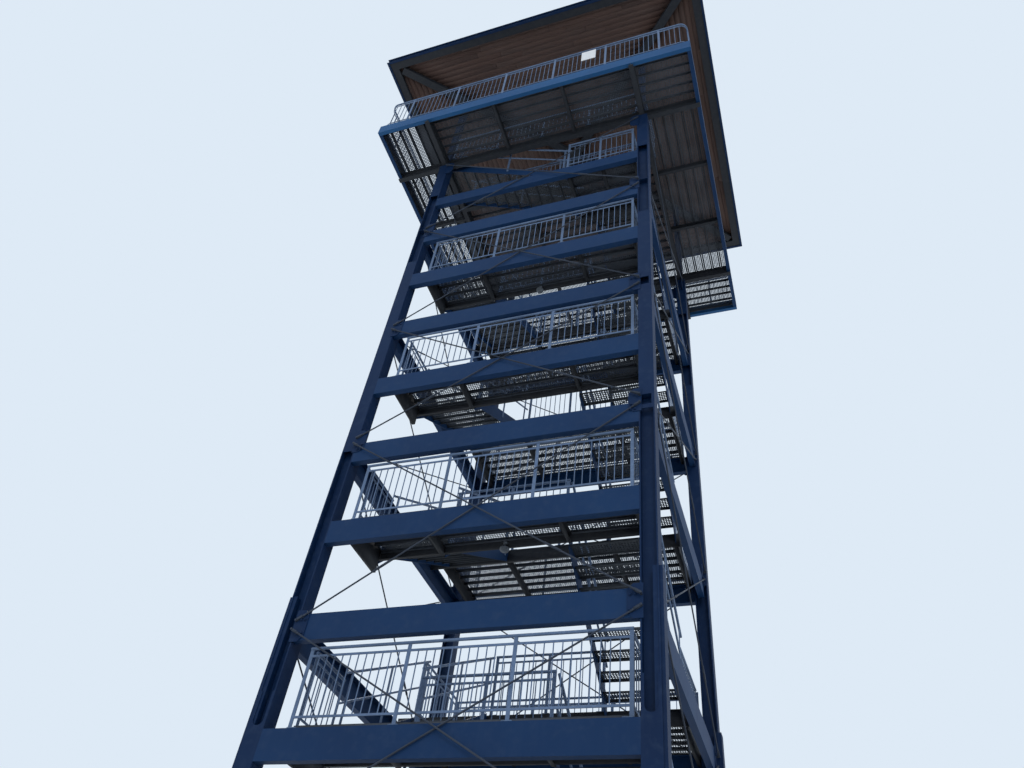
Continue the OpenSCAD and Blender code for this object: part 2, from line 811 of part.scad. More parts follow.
// The railing along X from x0 to x1, or along Y from y0 to y1, standing on height z
module railing_x(x0, x1, y, z, h = rail_h) {
    translate([x0, y, z]) railing(x1 - x0, h);
}

module railing_y(y0, y1, x, z, h = rail_h) {
    translate([x, y0, z]) rotate([0, 0, 90]) railing(y1 - y0, h);
}

module front_landing_railings() {
    y0 = front_y + beam_flange / 4;
    low_h = rail_h - plank_h;
    color(galvanised) {
        for (n = front_levels) {
            railing_x(front_left, landing_right, y0, steel_z(n));
            for (x = [front_left + edge_w / 2, landing_right - edge_w / 2])
                railing_y(y0 + beam_flange, well_front - edge_w, x, floor_z(n), low_h);
            railing_x(
                well_left + rail_line, stair_right - rail_line, well_front - edge_w / 2, floor_z(n), low_h
            );
        }
        railing_x(top_left, landing_right, y0, top_landing_z - plank_h);
        railing_y(y0 + beam_flange, top_back - edge_w, landing_right - edge_w / 2, top_landing_z, low_h);
    }
}

module back_landing_railings() {
    y1 = back_y - beam_flange / 4;
    low_h = rail_h - plank_h;
    color(galvanised) for (n = back_levels) {
        railing_x(back_left, landing_right, y1, steel_z(n));
        for (x = [back_left + edge_w / 2, landing_right - edge_w / 2])
            railing_y(well_back + edge_w, y1 - beam_flange, x, floor_z(n), low_h);
        railing_x(
            well_left + rail_line, stair_right - rail_line, well_back + edge_w / 2, floor_z(n), low_h
        );
    }
}

// Deck

// Main beams along X on the two leg lines, and the trimmer behind the stairwell
module deck_beams_across() {
    inner = deck_x - beam_web_t;
    color(dark_steel) {
        for (y = [-leg_y, leg_y])
            translate([-inner, y - main_flange / 2, leg_top])
                along_x(2 * inner) i_outline(main_beam_h, main_flange, beam_web_t, beam_flange_t);
        channel_x(
            -leg_x + main_flange / 2, leg_x - main_flange / 2, top_back, deck_steel_z,
            main_beam_h, 1, main_flange, beam_web_t, beam_flange_t
        );
    }
}

// Main beams along Y on the two leg lines, in pieces between those across
module deck_beams_front_to_back() {
    outer = deck_y - beam_web_t;
    face = leg_y - main_flange / 2;
    color(dark_steel)
        for (x = [-leg_x, leg_x], piece = [
            [-outer, -leg_y - main_flange / 2], [-face, face], [leg_y + main_flange / 2, outer]
        ])
            translate([x - main_flange / 2, piece[0], leg_top])
                along_y(piece[1] - piece[0])
                    i_outline(main_beam_h, main_flange, beam_web_t, beam_flange_t);
}

module deck_joist_y(y0, y1, x) {
    channel_y(y0, y1, x, deck_steel_z, deck_joist_h, x < 0 ? 1 : -1, deck_joist_flange, joist_t, joist_t);
}

module deck_joist_x_run(x0, x1, y) {
    channel_x(x0, x1, y, deck_steel_z, deck_joist_h, y < 0 ? 1 : -1, deck_joist_flange, joist_t, joist_t);
}

module deck_joists() {
    far_y = deck_y - beam_web_t;
    near_y = leg_y + main_flange / 2;
    far_x = deck_x - beam_web_t;
    near_x = leg_x + main_flange / 2;
    color(dark_steel) {
        for (x = [-deck_joist_x, deck_joist_x]) {
            deck_joist_y(-far_y, -near_y, x);
            deck_joist_y(near_y, far_y, x);
            deck_joist_y(top_back + main_flange, leg_y - main_flange / 2, x);
        }
        for (y = [-deck_joist_x, deck_joist_x]) {
            deck_joist_x_run(-far_x, -near_x, y);
            deck_joist_x_run(near_x, far_x, y);
        }
    }
}

module deck_edge_front_and_back() {
    color(blue) for (side = [-1, 1])
        channel_x(-deck_x, deck_x, side * deck_y, fascia_top, fascia_h, -side, fascia_flange);
}

module deck_edge_sides() {
    color(blue) for (side = [-1, 1])
        channel_y(
            -deck_y + fascia_flange, deck_y - fascia_flange, side * deck_x,
            fascia_top, fascia_h, -side, fascia_flange
        );
}

// The planks run round the deck: each strip ends against the next
deck_floor_x = deck_x - beam_web_t - fit;
deck_floor_y = deck_y - beam_web_t - fit;
post_hole = roof_post_w + 2 * plank_gap;

module deck_planks() {
    color(galvanised) difference() {
        union() {
            planks_along_x(-leg_x + plank_gap, deck_floor_x, -deck_floor_y, -leg_y, deck_z);
            planks_along_x(-deck_floor_x, deck_floor_x, leg_y + plank_gap, deck_floor_y, deck_z);
            planks_along_y(-deck_floor_x, -leg_x, -deck_floor_y, leg_y, deck_z);
            planks_along_y(leg_x + plank_gap, deck_floor_x, -leg_y + plank_gap, leg_y, deck_z);
            planks_along_x(-leg_x + plank_gap, leg_x, top_back, leg_y, deck_z);
            planks_along_y(
                -leg_x + plank_gap, deck_arrival, -leg_y + plank_gap, top_back - plank_gap, deck_z
            );
        }
        for (sx = [-1, 1], sy = [-1, 1])
            translate([sx * leg_x - post_hole / 2, sy * leg_y - post_hole / 2, deck_steel_z - 1])
                cube([post_hole, post_hole, plank_h + 2]);
    }
}

// One side of the deck railing along X, with half of the bend at both ends. The outside is -Y.
// The bends are a little thinner than the straight tube and bars, and are set a little way into them
module deck_railing_side(half_length) {
    straight = half_length - deck_rail_line - corner_r;
    translate([-straight, 0, 0]) railing(2 * straight, deck_rail_h, deck_post_in);
    for (side = [-1, 1])
        translate([side * straight, corner_r, 0]) mirror([side < 0 ? 1 : 0, 0, 0])
            rotate([0, 0, -90 - bend_lap]) half_bend();
}

// Tube and flat bars of half a corner bend, turned about the corner's middle
module half_bend() {
    sweep = 45 + bend_lap;
    rotate_extrude(angle = sweep)
        translate([corner_r, deck_rail_h - tube_d / 2]) circle(d = tube_d - bend_step);
    for (z = [bottom_rail_z, top_bar_z(deck_rail_h)])
        rotate_extrude(angle = sweep)
            translate([corner_r - bend_bar_t / 2, z]) square([bend_bar_t, bar_h]);
}

module deck_railing_front() {
    color(galvanised) translate([0, -deck_y + deck_rail_line, fascia_top])
        deck_railing_side(deck_x);
}

module deck_railing_back() {
    color(galvanised) translate([0, deck_y - deck_rail_line, fascia_top]) rotate([0, 0, 180])
        deck_railing_side(deck_x);
}

module deck_railing_left() {
    color(galvanised) translate([-deck_x + deck_rail_line, 0, fascia_top]) rotate([0, 0, -90])
        deck_railing_side(deck_y);
}

module deck_railing_right() {
    color(galvanised) translate([deck_x - deck_rail_line, 0, fascia_top]) rotate([0, 0, 90])
        deck_railing_side(deck_y);
}

// Railings round three sides of the stairwell in the deck, open where the last flight arrives
module stairwell_railings() {
    from_post = post_hole / 2 + stairwell_rail_in;
    back = top_back + stairwell_rail_in;
    low_h = rail_h - plank_h;
    color(galvanised) {
        railing_x(-leg_x + from_post, leg_x - from_post, -leg_y - stairwell_rail_in, deck_z, low_h);
        railing_x(-leg_x + from_post, leg_x, back, deck_z, low_h);
        railing_y(-leg_y + from_post, back, leg_x + stairwell_rail_in, deck_z, low_h);
    }
}

module blank_board() {
    color("white")
        translate([
            board_x, -deck_y + deck_rail_line - rail_t / 2 - board_plate_t,
            fascia_top + deck_rail_h - tube_d - board_drop - board_h
        ])
            cube([board_w, board_plate_t, board_h]);
}

// Roof

// Height of the soffit at a share of the way from the roof's edge to its middle
function soffit_at(share) = soffit_z + soffit_rise * share;

post_share = 1 - leg_x / roof_inner_x;

module roof_posts() {
    top = soffit_at(post_share) - roof_beam_h - hip_drop - roof_post_w / sqrt(2) * hip_slope - fit;
    color(navy) for (sx = [-1, 1], sy = [-1, 1])
        translate([sx * leg_x - roof_post_w / 2, sy * leg_y - roof_post_w / 2, deck_steel_z])
            linear_extrude(top - deck_steel_z) box_outline(roof_post_w, roof_post_w, roof_post_wall);
}

module eave_beams_front_and_back() {
    color(dark_steel) for (y = [-roof_inner_y, roof_inner_y - roof_beam_w])
        translate([-roof_inner_x, y, soffit_z - roof_beam_h])
            cube([2 * roof_inner_x, roof_beam_w, roof_beam_h]);
}

module eave_beams_sides() {
    length = 2 * (roof_inner_y - roof_beam_w);
    color(dark_steel) for (x = [-roof_inner_x, roof_inner_x - roof_beam_w])
        translate([x, -length / 2, soffit_z - roof_beam_h]) cube([roof_beam_w, length, roof_beam_h]);
}

// Four sloping beams from the corners to the boss in the middle
hip_length = sqrt(roof_inner_x * roof_inner_x + roof_inner_y * roof_inner_y);
hip_turn = atan2(roof_inner_y, roof_inner_x);
hip_slope = soffit_rise / hip_length;
hip_tilt = atan(hip_slope);
hip_drop = roof_beam_w / 2 * roof_slope;
hip_end = roof_beam_w * (sqrt(2) + 0.5) + 2 * fit;

module hip_beams() {
    color(dark_steel) for (turn = [hip_turn, 180 - hip_turn, 180 + hip_turn, -hip_turn])
        rotate([0, 0, turn]) translate([0, 0, soffit_z + soffit_rise]) rotate([0, hip_tilt, 0])
            translate([boss_d / 2, -roof_beam_w / 2, -roof_beam_h - hip_drop])
                cube([hip_length - boss_d / 2 - hip_end, roof_beam_w, roof_beam_h]);
}

module hip_boss() {
    top = soffit_z + soffit_rise - boss_d / 2 * roof_slope - fit;
    color(dark_steel) translate([0, 0, top - boss_h]) cylinder(h = boss_h, d = boss_d);
}

module roof_edge_front_and_back() {
    color(navy) for (side = [-1, 1])
        channel_x(
            -roof_x, roof_x, side * roof_inner_y, eave_z, roof_edge_h, side,
            roof_lip, roof_edge_t, roof_lip_t
        );
}

module roof_edge_sides() {
    color(navy) for (side = [-1, 1])
        channel_y(
            -roof_inner_y, roof_inner_y, side * roof_inner_x, eave_z, roof_edge_h, side,
            roof_lip, roof_edge_t, roof_lip_t
        );
}

// Low pyramid shell of even thickness, its underside at height z along the edge
module low_pyramid(z, thickness, hx, hy) {
    corners = [[-hx, -hy], [hx, -hy], [hx, hy], [-hx, hy]];
    polyhedron(
        concat(
            [for (p = corners) [p[0], p[1], z]], [[0, 0, z + soffit_rise]],
            [for (p = corners) [p[0], p[1], z + thickness]], [[0, 0, z + soffit_rise + thickness]]
        ),
        concat(
            [for (i = [0:3]) [i, (i + 1) % 4, 4]],
            [for (i = [0:3]) [(i + 1) % 4 + 5, i + 5, 9]],
            [for (i = [0:3]) [i, i + 5, (i + 1) % 4 + 5, (i + 1) % 4]]
        )
    );
}

module soffit_boards() {
    color(timber) low_pyramid(soffit_z, board_t, roof_inner_x - fit, roof_inner_y - fit);
}

module roof_covering() {
    color(dark_steel)
        low_pyramid(soffit_z + board_t, cover_sheet_t, roof_inner_x - fit, roof_inner_y - fit);
}

base_plates();
leg(-1, -1);  // leg_front_left
leg(1, -1);  // leg_front_right
leg(-1, 1);  // leg_back_left
leg(1, 1);  // leg_back_right
front_beams();
back_beams();
side_beams(-1);  // left_beams
side_beams(1);  // right_beams
front_bracing();
back_bracing();
side_bracing(-1);  // left_bracing
side_bracing(1);  // right_bracing
gusset_plates();
front_landing_frames();
front_landing_planks();
back_landing_frames();
back_landing_planks();
top_landing();
stair_stringers();
stair_treads();
stair_handrails();
front_landing_railings();
back_landing_railings();
deck_beams_across();
deck_beams_front_to_back();
deck_joists();
deck_edge_front_and_back();
deck_edge_sides();
deck_planks();
deck_railing_front();
deck_railing_back();
deck_railing_left();
deck_railing_right();
stairwell_railings();
roof_posts();
eave_beams_front_and_back();
eave_beams_sides();
hip_beams();
hip_boss();
roof_edge_front_and_back();
roof_edge_sides();
soffit_boards();
roof_covering();
blank_board();
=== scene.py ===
"""Looks of the fire lookout tower: paint, zinc, timber, perforated floors, bolts, camera and light.

Lengths are metres in the frame of the CAD model: +Z is up and the front of the tower is -Y.
"""

import json
import math

import bpy
import numpy as np
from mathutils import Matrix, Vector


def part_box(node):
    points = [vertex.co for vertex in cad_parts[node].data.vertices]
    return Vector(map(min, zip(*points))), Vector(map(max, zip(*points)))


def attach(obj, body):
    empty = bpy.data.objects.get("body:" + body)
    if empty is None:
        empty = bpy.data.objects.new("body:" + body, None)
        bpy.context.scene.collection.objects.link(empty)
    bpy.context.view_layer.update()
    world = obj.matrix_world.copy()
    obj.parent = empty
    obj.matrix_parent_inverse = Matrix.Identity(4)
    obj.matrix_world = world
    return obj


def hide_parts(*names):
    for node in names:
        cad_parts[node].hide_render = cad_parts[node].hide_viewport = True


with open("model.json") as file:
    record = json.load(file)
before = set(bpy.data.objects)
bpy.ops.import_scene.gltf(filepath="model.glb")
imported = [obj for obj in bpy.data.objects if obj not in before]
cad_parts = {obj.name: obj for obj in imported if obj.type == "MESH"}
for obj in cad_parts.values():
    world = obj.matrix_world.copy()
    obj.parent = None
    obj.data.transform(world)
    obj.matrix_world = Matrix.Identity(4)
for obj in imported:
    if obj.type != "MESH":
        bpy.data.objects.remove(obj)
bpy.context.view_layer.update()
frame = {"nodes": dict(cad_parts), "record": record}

# Camera: where the photograph was taken from, on the ground in front of the tower's right leg
CAMERA_PLACE = (4.2087, -11.0976, 2.5738)
CAMERA_TURN = (135.6028, -6.2277, 18.4945)
CAMERA_LENS = 28.015
SENSOR_WIDTH = 36.0
CAMERA_REACH = 500.0

# Light and floor. Colours on screen are 0 to 255. A sun is its name, its strength and its turn in degrees.
SKY_LIGHT = (0.86, 0.92, 1.0, 1.0)
SKY_STRENGTH = 0.85
SKY_ON_SCREEN = (222, 234, 246)
SUNS = (("key", 1.7, (-44, 0, 24)), ("fill", 0.45, (62, 0, 28)))
SUN_ANGLE = 15
FLOOR_SIZE = 160.0
FLOOR_DROP = 0.002
FLOOR_ON_SCREEN = (214, 214, 210)
FLOOR_ROUGHNESS = 0.9

# Materials
GROUP_OUTPUTS = (
    ("Colour", "NodeSocketColor"), ("Roughness", "NodeSocketFloat"), ("Height", "NodeSocketFloat"),
)
PAINT_SPECULAR = 0.18

# Faces of the tower: name, the axis square to the face, and the face's side on that axis
FACES = (("front", 1, -1), ("back", 1, 1), ("left", 0, -1), ("right", 0, 1))

# Points of the CAD model that agree to a hundredth of a millimetre count as one
STEPS_PER_METRE = 1e5

# Corners of a box's faces, where 0 to 3 go round its underside and 4 to 7 round its top
BOX_FACES = ((3, 2, 1, 0), (4, 5, 6, 7), (0, 1, 5, 4), (1, 2, 6, 5), (2, 3, 7, 6), (3, 0, 4, 7))

# Perforated planks and treads
HOLE_RADIUS = 0.0135
PLANK_HOLE_PITCH = 0.040
PLANK_ROW_PITCH = 0.038
TREAD_HOLE_PITCH = 0.044
FOLD_MARGIN = 0.030
END_MARGIN = 0.030
FOLD_THICKNESS = 0.004
NARROWEST_PERFORATED = 0.12
HIGHEST_PLANK = 0.051

# Members round the landings. Those that start less than ON_ONE_LINE apart are on one line.
FRONT_WELL_EDGE_HEIGHT = 0.150
FRONT_LEFT_EDGE_HEIGHT = 0.400
BACK_WELL_EDGE_HEIGHT = 0.250
BACK_LEFT_EDGE_HEIGHT = 0.250
SHORTEST_WELL_EDGE = 2.0
ON_ONE_LINE = 0.01

# Lamps under the front landings. The bracket is left, right, bottom and top of its section. A step of the
# lamp is how far under the stem's foot it starts and ends, and its share of the radius.
LAMP_RADIUS = 0.075
LAMP_DROP = 0.060
LAMP_X = 0.15
LAMP_FORWARD = 0.030
LAMP_STEM_RADIUS = 0.012
LAMP_STEM_HIDDEN = 0.060
LAMP_BRACKET = (-0.030, 0.030, -0.012, 0.050)
LAMP_BRACKET_UNDER = 0.030
LAMP_BRACKET_OVER = 0.010
LAMP_STEPS = ((-0.006, 0.022, 1.0), (0.022, 0.040, 0.86), (0.040, 0.052, 0.60))

# Fasteners. A gusset plate's bolts stand at shares of its width from its inner edge, and at shares of the
# height over which it lies on a beam.
BOLT_RADIUS = 0.017
BOLT_HEAD = 0.015
WASHER_RADIUS = 0.026
WASHER_HEIGHT = 0.004
BOLT_SHARES_ACROSS = (0.20, 0.52)
BOLT_SHARES_UP = (0.24, 0.76)
LOWEST_OVERLAP = 0.10
THICKEST_PLATE = 0.030
ANCHOR_NUT_RADIUS = 0.028
ANCHOR_NUT_HEIGHT = 0.026
ANCHOR_STUD_RADIUS = 0.015
ANCHOR_STUD_FOOT = 0.002
ANCHOR_STUD_OVER = 0.035
ANCHOR_WASHER_RADIUS = 0.036
ANCHOR_HALF_PITCH = 0.190

# Bracing rods, as they are in the CAD model, and their fittings
ROD_DIAMETER = 0.024
PIN_RADIUS = 0.016
TURNBUCKLE_RADIUS = 0.019
TURNBUCKLE_LENGTH = 0.24
TURNBUCKLE_FROM_END = 1.30
LOCK_NUT_RADIUS = 0.0175
LOCK_NUT_LENGTH = 0.020
LOCK_NUT_TURN = 0.3
FORK_LENGTH = 0.105
FORK_WIDTH = 0.034
FORK_CHEEK = 0.006
FORK_INNER_SHARE = 0.2
FORK_SOCKET_RADIUS = 0.0155
FORK_SOCKET_LENGTH = 0.05
FORK_SOCKET_OVERLAP = 0.02

# Railings
POST_WIDTH = 0.050
POST_PITCH = 1.500
ROUNDING = 1e-6
FOOT_LENGTH = 0.130
FOOT_WIDTH = 0.056
FOOT_THICKNESS = 0.010
FOOT_BOLT_MARGIN = 0.006
FOOT_BOLT_SCALE = 0.6

# Soffit boards. A row's joints are moved along by a share of a board's length, within JOINT_SPREAD.
# JOINT_STEP changes that share from row to row.
BOARD_WIDTH = 0.145
BOARD_JOINT = 0.004
BOARD_LENGTH = 2.6
BOARD_THICKNESS = 0.028
BOARD_DRAWN_THICKNESS = 0.0252
BOARD_MIDDLE_GAP = 0.002
SHORTEST_BOARD_END = 0.1
JOINT_STEP = 0.382
JOINT_SPREAD = 0.6
BOARD_MAP_STEP = (3.7, 0.31)
BOARD_TONE_STEP = 0.618034

# Roof sheet, its seams and its hip caps. A section's corners are across and up. A seam stops short of the
# hip, and a cap starts and ends, by shares of the way up.
COVERING_THICKNESS = 0.030
SEAM_PITCH = 0.53
SEAM_HEIGHT = 0.030
SEAM_SECTION = (
    (-0.010, -0.004), (0.010, -0.004), (0.0045, 0.012),
    (0.009, SEAM_HEIGHT), (-0.009, SEAM_HEIGHT), (-0.0045, 0.012),
)
SEAM_FROM_EAVE = 0.01
SEAM_UNDER_APEX = 0.004
SEAM_FROM_HIP = 0.01
HIP_CAP_SECTION = (
    (-0.08, -0.006), (0.0, -0.004), (0.08, -0.006), (0.08, 0.002), (0.0, 0.010), (-0.08, 0.002),
)
HIP_CAP_START = 0.012
HIP_CAP_END = 0.955


# Camera, light and floor

def place_camera():
    """Stands the camera at the photograph's place, with the photograph's turn and lens."""
    data = bpy.data.cameras.new("camera")
    data.sensor_width = SENSOR_WIDTH
    data.lens = CAMERA_LENS
    data.clip_end = CAMERA_REACH
    camera = bpy.data.objects.new("camera", data)
    camera.location = CAMERA_PLACE
    camera.rotation_euler = [math.radians(a) for a in CAMERA_TURN]
    bpy.context.scene.collection.objects.link(camera)
    bpy.context.scene.camera = camera


def linear(r, g, b):
    """A colour given as 0 to 255 on screen, as the linear value that a shader takes, by the sRGB curve."""
    screen = np.array([r, g, b]) / 255.0
    value = np.where(screen <= 0.04045, screen / 12.92, ((screen + 0.055) / 1.055) ** 2.4)
    return (*value.tolist(), 1.0)


def light_scene():
    """A pale sky all round, a soft key sun behind the tower as in the photograph, and a weak fill.

    The camera and mirroring surfaces see the sky's own colour. All else is lit by the sky light.
    """
    world = bpy.data.worlds.new("studio")
    bpy.context.scene.world = world
    world.use_nodes = True
    nodes = world.node_tree.nodes
    links = world.node_tree.links
    back = nodes["Background"]
    back.inputs["Color"].default_value = SKY_LIGHT
    back.inputs["Strength"].default_value = SKY_STRENGTH
    sky = nodes.new("ShaderNodeBackground")
    sky.inputs["Color"].default_value = linear(*SKY_ON_SCREEN)
    path = nodes.new("ShaderNodeLightPath")
    seen = path.outputs["Is Camera Ray"]
    for ray in ("Is Glossy Ray", "Is Transmission Ray"):
        seen = math_node(world.node_tree, "MAXIMUM", seen, path.outputs[ray])
    mix = nodes.new("ShaderNodeMixShader")
    links.new(seen, mix.inputs["Fac"])
    links.new(back.outputs["Background"], mix.inputs[1])
    links.new(sky.outputs["Background"], mix.inputs[2])
    links.new(mix.outputs["Shader"], nodes["World Output"].inputs["Surface"])
    for name, strength, turn in SUNS:
        data = bpy.data.lights.new(name, "SUN")
        data.energy = strength
        data.angle = math.radians(SUN_ANGLE)
        lamp = bpy.data.objects.new(name, data)
        lamp.rotation_euler = [math.radians(a) for a in turn]
        bpy.context.scene.collection.objects.link(lamp)


def lay_floor():
    """A pale matt floor of the studio, just under the tower's feet."""
    bpy.ops.mesh.primitive_plane_add(size=FLOOR_SIZE, location=(0, 0, -FLOOR_DROP))
    floor = bpy.context.object
    floor.name = "floor"
    material = bpy.data.materials.new("floor")
    material.use_nodes = True
    shader = material.node_tree.nodes["Principled BSDF"]
    shader.inputs["Base Color"].default_value = linear(*FLOOR_ON_SCREEN)
    shader.inputs["Roughness"].default_value = FLOOR_ROUGHNESS
    floor.data.materials.append(material)


# Shader groups

def new_group(name, inputs):
    """A node group that gives a colour, a roughness and a height, and the sockets of its inputs by name.

    An input is its name and its kind. Each material sets or links every input.
    """
    group = bpy.data.node_groups.new(name, "ShaderNodeTree")
    for direction, sockets in (("INPUT", inputs), ("OUTPUT", GROUP_OUTPUTS)):
        for label, kind in sockets:
            group.interface.new_socket(name=label, in_out=direction, socket_type=kind)
    return group, group.nodes.new("NodeGroupInput").outputs


def finish_group(group, colour, roughness, height):
    """Leads a node group's three results to its outputs."""
    out = group.nodes.new("NodeGroupOutput")
    for (label, _), socket in zip(GROUP_OUTPUTS, (colour, roughness, height)):
        group.links.new(socket, out.inputs[label])
    return group


def scaled_noise(group, vector, stretch, scale, detail=3.0, roughness=0.55):
    """Noise on the vector after each of its axes is stretched. Gives the noise's value socket."""
    mapping = group.nodes.new("ShaderNodeMapping")
    mapping.inputs["Scale"].default_value = stretch
    noise = group.nodes.new("ShaderNodeTexNoise")
    noise.inputs["Scale"].default_value = scale
    noise.inputs["Detail"].default_value = detail
    noise.inputs["Roughness"].default_value = roughness
    group.links.new(vector, mapping.inputs["Vector"])
    group.links.new(mapping.outputs["Vector"], noise.inputs["Vector"])
    return noise.outputs["Fac"]


def band(group, value, low, high, out_low=0.0, out_high=1.0):
    """Maps a value from low..high to out_low..out_high, clamped."""
    node = group.nodes.new("ShaderNodeMapRange")
    node.inputs["From Min"].default_value = low
    node.inputs["From Max"].default_value = high
    node.inputs["To Min"].default_value = out_low
    node.inputs["To Max"].default_value = out_high
    group.links.new(value, node.inputs["Value"])
    return node.outputs["Result"]


def math_node(group, operation, a, b):
    """The result of an operation on two values. A value is a socket or a number."""
    node = group.nodes.new("ShaderNodeMath")
    node.operation = operation
    for i, value in enumerate((a, b)):
        if isinstance(value, (int, float)):
            node.inputs[i].default_value = value
        else:
            group.links.new(value, node.inputs[i])
    return node.outputs[0]


def weighted_sum(group, *terms):
    """The sum of values, each times its weight. A term is a value and its weight."""
    parts = [math_node(group, "MULTIPLY", value, weight) for value, weight in terms]
    total = parts[0]
    for part in parts[1:]:
        total = math_node(group, "ADD", total, part)
    return total


def blend_colour(group, factor, a, b, mode="MIX"):
    """Mixes two colours by a factor. A colour is a socket or four numbers."""
    node = group.nodes.new("ShaderNodeMix")
    node.data_type = "RGBA"
    node.blend_type = mode
    if isinstance(factor, (int, float)):
        node.inputs["Factor"].default_value = factor
    else:
        group.links.new(factor, node.inputs["Factor"])
    for name, value in (("A", a), ("B", b)):
        socket = next(s for s in node.inputs if s.name == name and s.type == "RGBA")
        if isinstance(value, tuple):
            socket.default_value = value
        else:
            group.links.new(value, socket)
    return next(s for s in node.outputs if s.type == "RGBA")


def weather_group():
    """Rain streaks down the steel and dust on it.

    The tone changes over metres. The dust lies in narrow upright streaks and in small patches, and the
    surface is rougher where it lies.
    """
    group, given = new_group(
        "weathering",
        [
            ("Vector", "NodeSocketVector"),
            ("Colour", "NodeSocketColor"),
            ("Dust colour", "NodeSocketColor"),
            ("Streaks", "NodeSocketFloat"),
            ("Roughness", "NodeSocketFloat"),
        ],
    )
    vector = given["Vector"]
    tone = band(group, scaled_noise(group, vector, (1, 1, 1), scale=0.45), 0.35, 0.65)
    mottle = scaled_noise(group, vector, (1, 1, 1), scale=9.0, detail=5.0)
    streak = band(group, scaled_noise(group, vector, (9, 9, 0.35), scale=1.6, detail=4.0), 0.52, 0.78)
    grit = scaled_noise(group, vector, (1, 1, 1), scale=160.0, detail=2.0)
    darker = blend_colour(group, 1.0, given["Colour"], (0.74, 0.76, 0.80, 1), "MULTIPLY")
    base = blend_colour(group, tone, darker, given["Colour"])
    streaks = math_node(group, "MULTIPLY", streak, given["Streaks"])
    patches = math_node(group, "MULTIPLY", band(group, mottle, 0.5, 0.75), 0.22)
    amount = math_node(group, "MAXIMUM", streaks, patches)
    colour = blend_colour(group, amount, base, given["Dust colour"])
    rough = math_node(group, "ADD", given["Roughness"], math_node(group, "MULTIPLY", amount, 0.35))
    height = weighted_sum(group, (grit, 0.3), (mottle, 0.7))
    return finish_group(group, colour, rough, height)


def zinc_group():
    """Hot-dip zinc: crystals of a few centimetres in slightly different greys under a dull bloom."""
    group, given = new_group(
        "zinc",
        [
            ("Vector", "NodeSocketVector"),
            ("Colour", "NodeSocketColor"),
            ("Crystal scale", "NodeSocketFloat"),
            ("Roughness", "NodeSocketFloat"),
        ],
    )
    vector = given["Vector"]
    cells = group.nodes.new("ShaderNodeTexVoronoi")
    group.links.new(vector, cells.inputs["Vector"])
    group.links.new(given["Crystal scale"], cells.inputs["Scale"])
    grey = group.nodes.new("ShaderNodeSeparateColor")
    group.links.new(cells.outputs["Color"], grey.inputs["Color"])
    crystal = band(group, grey.outputs["Red"], 0.0, 1.0)
    bloom = band(group, scaled_noise(group, vector, (1, 1, 0.5), scale=1.3, detail=5.0), 0.45, 0.75)
    darker = blend_colour(group, 1.0, given["Colour"], (0.78, 0.79, 0.82, 1), "MULTIPLY")
    base = blend_colour(group, crystal, darker, given["Colour"])
    dull = blend_colour(group, 1.0, given["Colour"], (0.62, 0.62, 0.62, 1), "MULTIPLY")
    colour = blend_colour(group, bloom, base, dull)
    rough = math_node(group, "ADD", given["Roughness"], math_node(group, "MULTIPLY", bloom, 0.25))
    return finish_group(group, colour, rough, crystal)


def timber_group():
    """Stained boards: grain drawn out along the board, and a tone of its own for each board."""
    group, given = new_group(
        "board grain",
        [
            ("Vector", "NodeSocketVector"),
            ("Tone", "NodeSocketFloat"),
            ("Colour", "NodeSocketColor"),
            ("Dark colour", "NodeSocketColor"),
        ],
    )
    vector = given["Vector"]
    grain = scaled_noise(group, vector, (0.9, 22, 22), scale=2.0, detail=6.0, roughness=0.6)
    fine = scaled_noise(group, vector, (4, 160, 160), scale=2.0, detail=2.0)
    blotch = band(group, scaled_noise(group, vector, (0.5, 2, 2), scale=1.0, detail=4.0), 0.4, 0.7)
    dark = band(group, weighted_sum(group, (grain, 0.55), (blotch, 0.35), (given["Tone"], 0.14)), 0.3, 1.0)
    colour = blend_colour(group, dark, given["Colour"], given["Dark colour"])
    rough = band(group, grain, 0.3, 0.7, out_low=0.62, out_high=0.8)
    height = weighted_sum(group, (grain, 0.6), (fine, 0.4))
    return finish_group(group, colour, rough, height)


def start_material(name, group, values, metallic, bump, bump_distance):
    """A material whose shader takes colour, roughness and bump from one group with the given input values.

    Gives the material and the group's node.
    """
    material = bpy.data.materials.new(name)
    material.use_nodes = True
    tree = material.node_tree
    shader = tree.nodes["Principled BSDF"]
    shader.inputs["Metallic"].default_value = metallic
    node = tree.nodes.new("ShaderNodeGroup")
    node.node_tree = group
    for label, value in values.items():
        node.inputs[label].default_value = value
    relief = tree.nodes.new("ShaderNodeBump")
    relief.inputs["Strength"].default_value = bump
    relief.inputs["Distance"].default_value = bump_distance
    tree.links.new(node.outputs["Colour"], shader.inputs["Base Color"])
    tree.links.new(node.outputs["Roughness"], shader.inputs["Roughness"])
    tree.links.new(node.outputs["Height"], relief.inputs["Height"])
    tree.links.new(relief.outputs["Normal"], shader.inputs["Normal"])
    return material, node


def object_coordinates(material, node):
    """Leads the object's own coordinates to the group's vector."""
    tree = material.node_tree
    place = tree.nodes.new("ShaderNodeTexCoord")
    tree.links.new(place.outputs["Object"], node.inputs["Vector"])


def paint(name, group, colour, dust, streaks, roughness):
    """Weathered paint. Its dull specular keeps it from mirroring the pale sky."""
    values = {"Colour": colour, "Dust colour": dust, "Streaks": streaks, "Roughness": roughness}
    material, node = start_material(name, group, values, metallic=0.0, bump=0.25, bump_distance=0.002)
    object_coordinates(material, node)
    shader = material.node_tree.nodes["Principled BSDF"]
    shader.inputs["Specular IOR Level"].default_value = PAINT_SPECULAR
    return material


